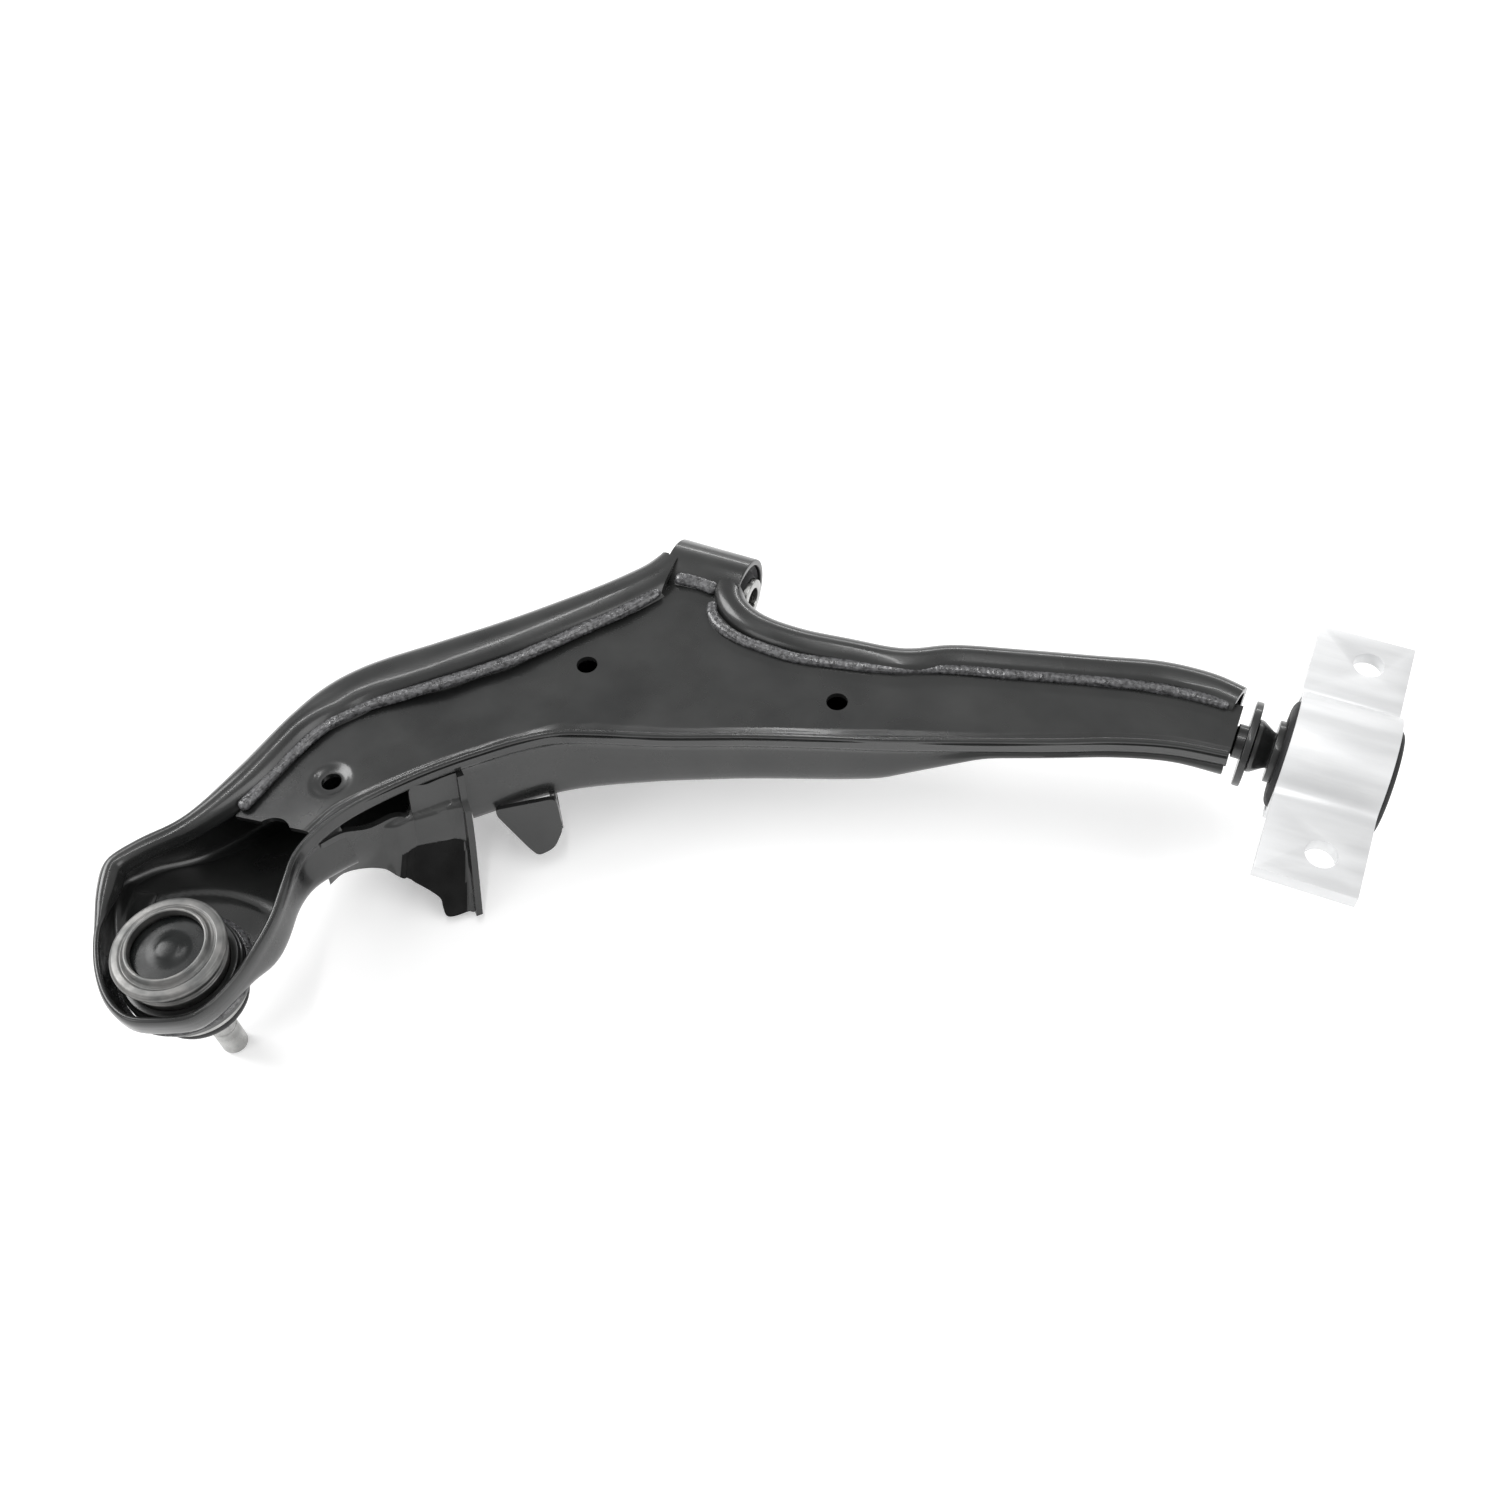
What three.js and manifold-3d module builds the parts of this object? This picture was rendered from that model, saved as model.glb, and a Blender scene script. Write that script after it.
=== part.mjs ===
// Stamped steel lower control arm of a car's front suspension: a pressed shell closed by a top plate,
// a horizontal front bush, a rear bush in an aluminium clamp bracket on a welded-in pin, and a ball joint.
//
// Millimetres, +Z up. Everything is laid out in bush coordinates: X runs along the hinge axis from the
// front bush (-X) to the rear bush (0), Y points away from the ball joint, and Z = 0 is the hinge axis.
// The exported group moves that layout so that the row's origin is the centre of the rear pin's end face.
import * as THREE from "three";
import { mergeVertices } from "three/addons/utils/BufferGeometryUtils.js";
import Module from "manifold-3d";

const wasm = await Module();
wasm.setup();

// ---------------------------------------------------------------- driving dimensions
const SHEET = 2.8; // pressed steel thickness of the shell and the brackets
const GAP = 0.35; // clearance between pieces that touch
const FINEST_DETAIL = 0.02; // slivers thinner than this are merged away after a cut
const PLATE_TOP = 14; // height of the top plate's upper face over the hinge axis
const PLATE_SINK = 3; // how far the plate's left half drops along the far ridge

const PIN_R = 8.4;
const PIN_END_X = 24;
const PIN_ROOT_X = -82;
const WASHER_R = 20;

const REAR_HALF_WIDTH = 21.75; // bracket, along the axis
const REAR_RING_R = 30;
const REAR_BORE_R = 26.9;
const EAR_HALF_SPAN = 72;
const EAR_TOP = 11.5;
const EAR_THICKNESS = 7;
const EAR_HOLE_R = 7;
const EAR_HOLE_Y = 55.5;
const EAR_HOLE_X = 3.5;

const FRONT_R = 20;
const FRONT_WALL = 3.1;
const FRONT_LEFT_X = -327;
const FRONT_RIGHT_X = -287;

const BALL_X = -426.3;
const BALL_Y = -283;
const BALL_CENTRE_Z = 2;
const BALL_R = 12.5;
const HOUSING_R = 21;
const CAP_LIP_R = 24.2;
const CAP_TOP = 28;
const COLLAR_R = 26;
const STUD_R = 6;
const STUD_TIP_Z = -66;

// ---------------------------------------------------------------- materials
const finish = (color, roughness, metalness) => new THREE.MeshStandardMaterial({ color, roughness, metalness });
const blackCoat = () => finish(0x2b2d2f, 0.35, 0.1);
const bareSteel = () => finish(0xa9abad, 0.35, 0.9);
const castAluminium = () => finish(0xd9dadc, 0.5, 0.6);
const blackRubber = () => finish(0x17181a, 0.8, 0);
const whitePolymer = () => finish(0xd8d5cc, 0.55, 0);

// ---------------------------------------------------------------- solids
function toSolid(geometry) {
  const bare = new THREE.BufferGeometry();
  bare.setAttribute("position", geometry.getAttribute("position"));
  bare.setIndex(geometry.index);
  const merged = mergeVertices(bare, 1e-4);
  return new wasm.Manifold(
    new wasm.Mesh({
      numProp: 3,
      vertProperties: merged.attributes.position.array,
      triVerts: new Uint32Array(merged.index.array),
    }),
  );
}

function toGeometry(solid) {
  const mesh = solid.simplify(FINEST_DETAIL).getMesh();
  const geometry = new THREE.BufferGeometry();
  geometry.setAttribute("position", new THREE.BufferAttribute(new Float32Array(mesh.vertProperties), 3));
  geometry.setIndex(new THREE.BufferAttribute(new Uint32Array(mesh.triVerts), 1));
  geometry.computeVertexNormals();
  return geometry;
}

const join = (...solids) => solids.reduce((a, b) => a.add(b));
const cut = (solid, ...tools) => tools.reduce((a, b) => a.subtract(b), solid);

// The biggest body that is left after a cut, without the slivers beyond the cutting piece.
function mainBody(solid) {
  return solid.decompose().reduce((a, b) => (a.volume() > b.volume() ? a : b));
}

function signedVolume(positions, index) {
  let sum = 0;
  const [a, b, c] = [new THREE.Vector3(), new THREE.Vector3(), new THREE.Vector3()];
  for (let i = 0; i < index.length; i += 3) {
    a.fromArray(positions, 3 * index[i]);
    b.fromArray(positions, 3 * index[i + 1]);
    c.fromArray(positions, 3 * index[i + 2]);
    sum += a.dot(b.cross(c));
  }
  return sum;
}

// Triangles that fill an outline, all turning the way the outline itself turns.
function filled(outline) {
  const turn = Math.sign(THREE.ShapeUtils.area(outline));
  return THREE.ShapeUtils.triangulateShape(outline, []).map((corners) => {
    const same = Math.sign(THREE.ShapeUtils.area(corners.map((i) => outline[i]))) === turn;
    return same ? corners : corners.toReversed();
  });
}

function reverseTriangles(index) {
  for (let i = 0; i < index.length; i += 3) [index[i + 1], index[i + 2]] = [index[i + 2], index[i + 1]];
}

// A closed skin over rings of equal length; outline is the first and last ring drawn flat, for the caps.
function skin(rings, firstOutline, lastOutline) {
  const size = rings[0].length;
  const positions = rings.flat().flatMap((p) => [p.x, p.y, p.z]);
  const index = [];
  for (let i = 0; i + 1 < rings.length; i++) {
    for (let j = 0; j < size; j++) {
      const [a, b] = [i * size + j, i * size + ((j + 1) % size)];
      index.push(a, b, b + size, a, b + size, a + size);
    }
  }
  const last = (rings.length - 1) * size;
  for (const [a, b, c] of filled(firstOutline)) index.push(a, c, b);
  for (const [a, b, c] of filled(lastOutline)) index.push(last + a, last + b, last + c);
  if (signedVolume(positions, index) < 0) reverseTriangles(index);
  const geometry = new THREE.BufferGeometry();
  geometry.setAttribute("position", new THREE.BufferAttribute(new Float32Array(positions), 3));
  geometry.setIndex(index);
  return toSolid(geometry);
}

// Turned piece: profile points are [radius, height]; it stands on +Z and starts and ends on the axis,
// or closes on itself.
function turned(profile, segments = 40) {
  const points = profile.map(([r, h]) => new THREE.Vector2(r, h));
  const onAxis = profile[0][0] === 0 && profile.at(-1)[0] === 0;
  if (!onAxis) points.push(points[0].clone());
  const geometry = new THREE.LatheGeometry(points, segments);
  geometry.rotateX(Math.PI / 2);
  const index = Array.from(geometry.index.array);
  if (signedVolume(geometry.attributes.position.array, index) < 0) reverseTriangles(index);
  geometry.setIndex(index);
  return toSolid(geometry);
}

// The same, lying on +X: heights become X.
const turnedAlongX = (profile, segments) => turned(profile, segments).rotate([0, 90, 0]);
const overBall = (solid) => solid.translate([BALL_X, BALL_Y, 0]);
const rod = (radius, from, to, segments = 40) =>
  turned([[0, from], [radius, from], [radius, to], [0, to]], segments);
const tube = (inner, outer, from, to, segments = 40) =>
  turned([[inner, from], [outer, from], [outer, to], [inner, to]], segments);

// An outline of Vector2 extruded along +Z by depth.
function slab(outline, depth, holes = []) {
  const shape = new THREE.Shape(outline);
  holes.forEach((hole) => shape.holes.push(new THREE.Path(hole)));
  return toSolid(new THREE.ExtrudeGeometry(shape, { depth, bevelEnabled: false, curveSegments: 12 }));
}

function circle(x, y, radius, segments = 28) {
  return Array.from({ length: segments }, (_, i) => {
    const a = (2 * Math.PI * i) / segments;
    return new THREE.Vector2(x + radius * Math.cos(a), y + radius * Math.sin(a));
  });
}

// ---------------------------------------------------------------- rails of the pressing
// Each rail is the outermost line of the pressing, walked with the metal on the left hand.
// A row is [x, y, bottom height, edge form]; the edge forms are drawn below.
const LEFT_RAIL = [
  [-334.5, 1, -26, "ridge"],
  [-337, -7, -28, "ridge"],
  [-345, -19, -31, "ridge"],
  [-357.5, -34.5, -34, "ridge"],
  [-382.5, -62.5, -36, "ridge"],
  [-409.5, -89.5, -36, "ridge"],
  [-435.5, -115.5, -36, "ridge"],
  [-447, -133.5, -36, "ridge"],
  [-454, -155, -36, "narrowRidge"],
  [-460, -190, -33, "narrowRidge"],
  [-468.5, -222, -18, "bulge"],
  [-480, -238.5, -10, "bulge"],
  [-487, -254, -7, "bulge"],
  [-481.5, -268, -5, "bulge"],
  [-469, -285, -5, "rim"],
  [-456, -301, -4, "rim"],
  [-441.5, -312, -3, "rim"],
  [-428.5, -315.5, -2, "rim"],
  [-419.5, -313, -2, "rim"],
  [-411.5, -309.5, -2, "rim"],
  [-404, -305, -2, "rim"],
  [-399, -296.5, -2, "rim"],
  [-396.3, -285, -2, "rim"],
  [-395.5, -274, -3, "rim"],
  [-396, -262, -12, "rim"],
  [-397.5, -250, -12.5, "rim"],
  [-402.5, -233, -12, "rim"],
  [-407, -219, -18, "lip"],
  [-405, -205, -24, "lip"],
  [-399.5, -191.5, -28, "lip"],
  [-383, -168, -33, "lip"],
  [-371, -154, -34, "lip"],
  [-358, -141, -34, "lip"],
  [-346, -130, -34, "lip"],
  [-332, -120, -33, "lip"],
  [-317, -114, -29.5, "lip"],
  [-284, -103, -23, "lip"],
  [-248, -89, -21.5, "lip"],
  [-211, -76, -20.5, "lip"],
  [-190, -69, -18.5, "lip"],
  [-147, -53, -2.8, "lip"],
  [-118, -42, -1.6, "lip"],
  [-91, -31, -2, "lip"],
  [-67, -24, -2.6, "lip"],
  [-44, -21, -5.5, "lip"],
];
const RIGHT_RAIL = [
  [-44, 19.8, -10.5, "slimRidge"],
  [-57, 22.7, -10.5, "slimRidge"],
  [-70, 23.2, -10.5, "slimRidge"],
  [-87, 21.5, -10, "slimRidge"],
  [-112, 14.9, -9, "slimRidge"],
  [-147.5, 5.5, -8.5, "slimRidge"],
  [-180.5, -4, -17, "slimRidge"],
  [-199, -13.5, -20, "slimRidge"],
  [-224.5, -17, -22, "slimRidge"],
  [-250, -19.5, -24, "slimRidge"],
  [-271, -17.5, -26, "slimRidge"],
  [-282, -11, -26, "slimRidge"],
  [-286.5, -3, -26, "slimRidge"],
];

// Section of the pressing's edge: middle line of the sheet as [inward of the rail, height]. foot rises from
// the floor, its heights counted from the rail's bottom height; top is in the arm's own heights.
// draft is how much the wall leans out below.
const TIGHT_FOOT = [[20, 1.4], [10, 1.4], [4.2, 3.6], [1.8, 8.6]];
const SHORT_FOOT = [[13, 1.4], [9, 1.4], [4.2, 3.6], [1.8, 8.6]];
const EDGE_FORMS = {
  ridge: { draft: 0, foot: TIGHT_FOOT, top: [[1.6, 8], [3.4, 15.8], [10.5, 19], [18, 17], [24, 9.6]] },
  narrowRidge: { draft: 0, foot: TIGHT_FOOT, top: [[1.6, 8], [3, 15], [8, 18.4], [13.5, 16.5], [18, 9.6]] },
  slimRidge: { draft: 0, foot: TIGHT_FOOT, top: [[1.6, 8], [2.8, 15.2], [7.8, 18.2], [13, 16.8], [16.2, 11.2]] },
  bulge: { draft: 0, foot: TIGHT_FOOT, top: [[1.6, 7], [2.4, 13], [4.8, 16], [8, 15], [10, 10]] },
  rim: {
    draft: 0,
    foot: [[14, 1.4], [9, 1.4], [4.6, 3.4], [2.3, 7]],
    top: [[1.6, 9], [1.5, 11.5], [2, 13.8], [3.8, 14.9], [5.6, 13.4]],
  },
  lip: { draft: 0.09, foot: SHORT_FOOT, top: [[2.6, 5], [1.5, 7.5], [1.4, 9.5], [1.4, 11.5], [1.4, 13.8]] },
};

function edgeLine(bottom, form) {
  const foot = form.foot.map(([inward, up], i) => {
    const lean = i > 0 ? form.draft * Math.max(0, 9 - bottom) : 0;
    return [inward - lean, Math.min(bottom + up, form.top[0][1] - 1)];
  });
  return [...foot, ...form.top];
}

// The outline of a bent sheet, from its middle line and its thickness; extra is added on every side.
function sheetOutline(line, extra) {
  const thickness = SHEET + extra;
  const points = line.map(([inward, z]) => new THREE.Vector2(inward, z));
  const overhang = (end, next) => end.add(end.clone().sub(next).setLength(extra / 2 + 1e-4));
  overhang(points[0], points[1]);
  overhang(points.at(-1), points.at(-2));
  const sides = [1, -1].map((side) =>
    points.map((p, i) => {
      const before = i > 0 ? p.clone().sub(points[i - 1]).normalize() : null;
      const after = i + 1 < points.length ? points[i + 1].clone().sub(p).normalize() : null;
      const along = (before ?? after).clone().add(after ?? before).normalize();
      const stretch = 1 / Math.max(0.6, along.dot(before ?? after));
      return new THREE.Vector2(
        p.x - side * along.y * (thickness / 2) * stretch,
        p.y + side * along.x * (thickness / 2) * stretch,
      );
    }),
  );
  return [...sides[0], ...sides[1].reverse()];
}

const mix = (a, b, t) => a + (b - a) * t;
const smoothRail = (rows) =>
  new THREE.CatmullRomCurve3(rows.map(([x, y]) => new THREE.Vector3(x, y, 0)), false, "centripetal");

// Point on a rail moved inward: place counts rail rows, so 2.5 lies half-way between rows 2 and 3.
function railPoint(rows, place, inward, height) {
  const curve = smoothRail(rows);
  const t = THREE.MathUtils.clamp(place / (rows.length - 1), 0, 1);
  const p = curve.getPoint(t);
  const along = curve.getTangent(t);
  return new THREE.Vector3(p.x - along.y * inward, p.y + along.x * inward, height);
}

// A constant or changing outline carried along a rail; outlineAt(place) gives Vector2 (inward, height).
function along(rows, from, to, steps, outlineAt) {
  const rings = [];
  const outlines = [];
  for (let i = 0; i <= steps; i++) {
    const place = mix(from, to, i / steps);
    const outline = outlineAt(place);
    outlines.push(outline);
    rings.push(outline.map((p) => railPoint(rows, place, p.x, p.y)));
  }
  return skin(rings, outlines[0], outlines.at(-1));
}

function wallOutline(rows, place, extra) {
  const i = Math.min(Math.floor(place), rows.length - 2);
  const t = place - i;
  const lines = [rows[i], rows[i + 1]].map(([, , bottom, form]) => edgeLine(bottom, EDGE_FORMS[form]));
  const line = lines[0].map(([inward, z], k) => [mix(inward, lines[1][k][0], t), mix(z, lines[1][k][1], t)]);
  return sheetOutline(line, extra);
}

const wall = (rows, extra) =>
  along(rows, 0, rows.length - 1, (rows.length - 1) * 2, (place) => wallOutline(rows, place, extra));

// ---------------------------------------------------------------- lower shell
// Floor of the pressing as cross lines: near end and far end as [x, y, underside height], and how much
// lower the middle lies.
const FLOOR_LINES = [
  [[-44, -12, -5.5], [-44, 9, -10.5], 3],
  [[-67, -15, -2.6], [-67, 12, -10.5], 4.4],
  [[-84, -20, -2], [-84, 10, -10.2], 4.8],
  [[-100, -25, -1.8], [-100, 7, -9.5], 3.5],
  [[-147, -44, -2.8], [-147, -4, -8.5], 1],
  [[-190, -59, -18.5], [-190, -18, -18], 0],
  [[-225, -72, -21], [-228, -28, -22], 0],
  [[-255, -83, -22], [-260, -29, -25], 0],
  [[-278, -92, -22.5], [-282, -22, -26], 1],
  [[-290, -96, -24], [-290, 2, -26], 1],
  [[-314, -104, -29], [-322, 2, -26], 1],
  [[-330, -111, -33], [-333, -16, -29], 0],
  [[-344, -120, -34], [-349, -38, -34], 0],
  [[-364, -137, -34], [-378, -72, -36], 0],
  [[-378, -152, -34], [-414, -108, -36], 0],
  [[-388, -165, -33], [-439, -135, -36], 0],
  [[-402, -187, -28.5], [-446, -178, -35], 0],
  [[-413, -204, -24], [-452, -203, -28], 0],
  [[-414, -221, -18], [-460, -224, -18], 0],
  [[-411, -236, -12], [-472, -240, -10], 0],
  [[-406, -250, -12], [-478, -255, -7], -2.5],
  [[-404.5, -262, -11], [-472, -267, -5], -3],
  [[-404, -275, -3.5], [-462, -280, -5], 0],
  [[-407, -297, -2], [-452, -294, -4], 0],
  [[-415, -305, -2], [-438, -305, -2.5], 0],
];

function floor() {
  const rings = FLOOR_LINES.map(([near, far, sag]) => {
    const [a, b] = [new THREE.Vector3(...near), new THREE.Vector3(...far)];
    const middle = a.clone().lerp(b, 0.5);
    middle.z -= sag;
    const up = new THREE.Vector3(0, 0, SHEET);
    return [a, middle, b, b.clone().add(up), middle.clone().add(up), a.clone().add(up)];
  });
  const outline = [[0, 0], [1, 0], [2, 0], [2, 1], [1, 1], [0, 1]].map(([x, y]) => new THREE.Vector2(x, y));
  return skin(rings, outline, outline);
}

// Cradle under the front bush's sleeve, from its near side round to below it.
function cradle() {
  const inner = FRONT_R + GAP;
  const outer = inner + SHEET;
  const arc = (radius, from, to) =>
    Array.from({ length: 13 }, (_, i) => {
      const a = THREE.MathUtils.degToRad(mix(from, to, i / 12));
      return new THREE.Vector2(radius * Math.cos(a), radius * Math.sin(a));
    });
  const outline = [...arc(outer, 157, 280), ...arc(inner, 280, 157)];
  // The outline is drawn in Y and Z and runs along X.
  return slab(outline, FRONT_RIGHT_X - FRONT_LEFT_X - 2)
    .rotate([90, 0, 0])
    .rotate([0, 0, 90])
    .translate([FRONT_LEFT_X + 1, 0, 0]);
}

const WINDOW_ROWS = [28.6, 31.6]; // stretch of the left rail where the stabiliser bracket takes the wall's place

// Everything the shell keeps clear of: the sleeve, the ball joint's collar and the bracket's stretch of wall.
function shellOpenings() {
  const sleeveRoom = rod(FRONT_R + GAP, FRONT_LEFT_X - GAP, FRONT_RIGHT_X + GAP).rotate([0, 90, 0]);
  const boltRoom = rod(FRONT_R - 2, FRONT_LEFT_X - 25, FRONT_RIGHT_X + 20).rotate([0, 90, 0]);
  const saddle = [[-322, -24], [-297, -24], [-297, 0], [-322, 0]].map(([x, y]) => new THREE.Vector2(x, y));
  const saddleRoom = slab(saddle, 20).translate([0, 0, 10]);
  const collarRoom = overBall(rod(COLLAR_R + GAP, -20, 12, 48));
  const stretch = [[8.5, -60], [8.5, 7], [-12, 7], [-12, -60]].map(([o, z]) => new THREE.Vector2(o, z));
  const bracketRoom = along(LEFT_RAIL, WINDOW_ROWS[0], WINDOW_ROWS[1], 8, () => stretch);
  return [sleeveRoom, boltRoom, saddleRoom, collarRoom, bracketRoom];
}

// extra thickens the sheet, to give the room that a neighbour has to leave free.
function shell(extra = 0) {
  const walls = join(wall(LEFT_RAIL, extra), wall(RIGHT_RAIL, extra));
  return mainBody(cut(join(walls, floor(), cradle()), ...shellOpenings()));
}

// ---------------------------------------------------------------- top plate
// Cross lines of the plate from its near edge to its far edge: [x, y, drop below the plate's level].
const PLATE_LINES = [
  [[-44.5, -22, 0], [-44.5, 9, 0]],
  [[-68, -25, 0], [-72, 10, 0]],
  [[-92, -32, 0], [-98, 5, 0]],
  [[-147, -54, 0], [-150, -9, 0]],
  [[-185, -67, 0], [-190, -23, 0]],
  [[-212, -77, 0], [-218, -32, 0]],
  [[-248, -90, 0], [-250, -36, 0]],
  [[-284, -104, 0], [-276, -34, 0]],
  [[-300, -109, 0], [-291, -20, 0]],
  [[-311, -113, 0], [-297, -8, 0]],
  [[-317, -115, 0], [-316, -8, 0]],
  [[-325, -118, 0], [-326, -24, 0]],
  [[-333, -121, 0], [-338, -38, 0]],
  [[-346, -131, 0], [-354, -62, 0]],
  [[-358, -142, 0], [-370, -80, 1]],
  [[-371, -155, 0], [-392, -102, 3]],
  [[-383, -169, 0], [-414, -121, 3]],
  [[-394, -183, 0], [-434, -150, 3]],
  [[-401, -193, 0], [-442, -176, 3]],
  [[-406, -206, 1], [-447, -211, 3]],
];
const PLATE_HOLES = [[-337, -76, 5], [-217.5, -55, 5], [-416, -179, 5]]; // x, y, radius
const NOTCH = { x: -426, y: -214, radius: 9 }; // rounded relief in the plate's left end
const ACROSS = [0, 0.25, 0.5, 0.75, 1];

function plateBlank(extra = 0) {
  const rings = PLATE_LINES.map(([near, far]) => {
    const line = ACROSS.map((t) => new THREE.Vector3(mix(near[0], far[0], t), mix(near[1], far[1], t), mix(near[2], far[2], t)));
    const level = (offset) => line.map((p) => new THREE.Vector3(p.x, p.y, PLATE_TOP - p.z * (PLATE_SINK / 3) + offset));
    return [...level(-SHEET - extra / 2), ...level(extra / 2).reverse()];
  });
  const outline = [
    ...ACROSS.map((t) => new THREE.Vector2(t, 0)),
    ...ACROSS.map((t) => new THREE.Vector2(t, 1)).reverse(),
  ];
  return skin(rings, outline, outline);
}

function topPlate() {
  const holes = PLATE_HOLES.map(([x, y, r]) => rod(r, 0, 30, 24).translate([x, y, 0]));
  const notch = rod(NOTCH.radius, 0, 30, 24).translate([NOTCH.x, NOTCH.y, 0]);
  const sleeveRoom = rod(FRONT_R + GAP, FRONT_LEFT_X - 8, FRONT_RIGHT_X + 8).rotate([0, 90, 0]);
  return mainBody(cut(plateBlank(), shell(2 * GAP), sleeveRoom, notch, ...holes));
}

// ---------------------------------------------------------------- weld beads on the plate
const LEFT_WELD = [
  [-323, -23], [-333, -40], [-345, -56], [-357, -72], [-370, -86], [-384, -99], [-398, -110],
  [-411, -121], [-424, -133], [-433, -150], [-440, -172], [-444, -197], [-445.5, -208],
];
const RIGHT_WELD = [
  [-296, -20], [-293, -27], [-286, -33], [-276, -36.5], [-262, -38], [-245, -38], [-222, -33.5],
  [-200, -28], [-180, -20], [-147, -11], [-112, -1.5], [-87, 4], [-66, 6.5], [-50, 6.5],
];
const BEAD_R = 3.4;

// A round bead laid along points on the plate, lying on whatever the plate's height is there.
function bead(points, radius, heightAt, steps) {
  const curve = new THREE.CatmullRomCurve3(
    points.map(([x, y]) => new THREE.Vector3(x, y, heightAt(x, y))),
    false,
    "centripetal",
  );
  const rings = [];
  const outline = circle(0, 0, radius, 8);
  for (let i = 0; i <= steps; i++) {
    const p = curve.getPoint(i / steps);
    const t = curve.getTangent(i / steps);
    const across = new THREE.Vector3(t.y, -t.x, 0).normalize();
    const up = new THREE.Vector3().crossVectors(across, t).normalize().multiplyScalar(-1);
    rings.push(outline.map((c) => p.clone().addScaledVector(across, c.x).addScaledVector(up, c.y)));
  }
  return skin(rings, outline, outline);
}

const leftPlateHeight = (x) => PLATE_TOP + 1 - PLATE_SINK * THREE.MathUtils.smoothstep(-x, 355, 392);
const rightPlateHeight = () => PLATE_TOP + 1;

function plateWeld(points, heightAt, steps) {
  return mainBody(cut(bead(points, BEAD_R, heightAt, steps), plateBlank(2 * GAP), shell(2 * GAP)));
}

// Fillet of weld between the plate's edge and the top of the sleeve.
function saddleWeld() {
  const points = [[-320, -12.5], [-308.5, -11.5], [-296.5, -12.5]];
  const sleeveRoom = rod(FRONT_R + GAP, -360, -260).rotate([0, 90, 0]);
  const others = [plateWeld(LEFT_WELD, leftPlateHeight, 22), plateWeld(RIGHT_WELD, rightPlateHeight, 24)];
  const raw = bead(points, 4.6, () => PLATE_TOP + 2.2, 8);
  return mainBody(cut(raw, plateBlank(2 * GAP), shell(4 * GAP), sleeveRoom, ...others));
}

// ---------------------------------------------------------------- front bush
function frontOuterSleeve() {
  const [left, right, inner, bevel] = [FRONT_LEFT_X, FRONT_RIGHT_X, FRONT_R - FRONT_WALL, 0.8];
  return turnedAlongX([
    [inner, left], [FRONT_R - bevel, left], [FRONT_R, left + bevel],
    [FRONT_R, right - bevel], [FRONT_R - bevel, right], [inner, right],
  ]);
}

function frontRubber() {
  const outer = FRONT_R - FRONT_WALL - GAP;
  const inner = 10.7;
  const middle = (inner + outer) / 2;
  return turnedAlongX([
    [inner, FRONT_LEFT_X - 1], [middle, FRONT_LEFT_X + 3], [outer, FRONT_LEFT_X + 1],
    [outer, FRONT_RIGHT_X - 1], [middle, FRONT_RIGHT_X - 3], [inner, FRONT_RIGHT_X + 1],
  ]);
}

const frontInnerSleeve = () =>
  turnedAlongX([[6.2, FRONT_LEFT_X - 3], [10.35, FRONT_LEFT_X - 3], [10.35, FRONT_RIGHT_X + 3], [6.2, FRONT_RIGHT_X + 3]], 32);

// ---------------------------------------------------------------- rear pin and bush
const rearPin = () =>
  turnedAlongX([
    [0, PIN_ROOT_X], [5.6, PIN_ROOT_X], [6.6, PIN_ROOT_X + 1], [6.6, -43.6], [8, -43.6], [8, -35.6],
    [12.5, -35.6], [12.2, -33.5], [8.8, -28.4], [PIN_R, -27.4],
    [PIN_R, PIN_END_X - 1], [PIN_R - 1, PIN_END_X], [0, PIN_END_X],
  ], 32);

const rearPinWasher = () => turnedAlongX([[8 + GAP, -39.4], [WASHER_R, -39.4], [WASHER_R, -36], [8 + GAP, -36]]);

const rearInnerSleeve = () =>
  turnedAlongX([
    [PIN_R + 0.3, -27], [14.5, -27], [14.5, -23], [13, -22.6], [13, PIN_END_X - 0.6], [PIN_R + 0.3, PIN_END_X - 0.6],
  ]);

const rearRubber = () =>
  turnedAlongX([
    [13.3, -21.8], [15.4, -22], [17, -23.8], [22, -24], [25, -22.4],
    [25, 22.4], [22, 24], [17, 23.8], [13.3, 22.4],
  ]);

const rearOuterSleeve = () => turnedAlongX([[25.3, -21.4], [26.6, -21.4], [26.6, 21.4], [25.3, 21.4]], 48);

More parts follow.
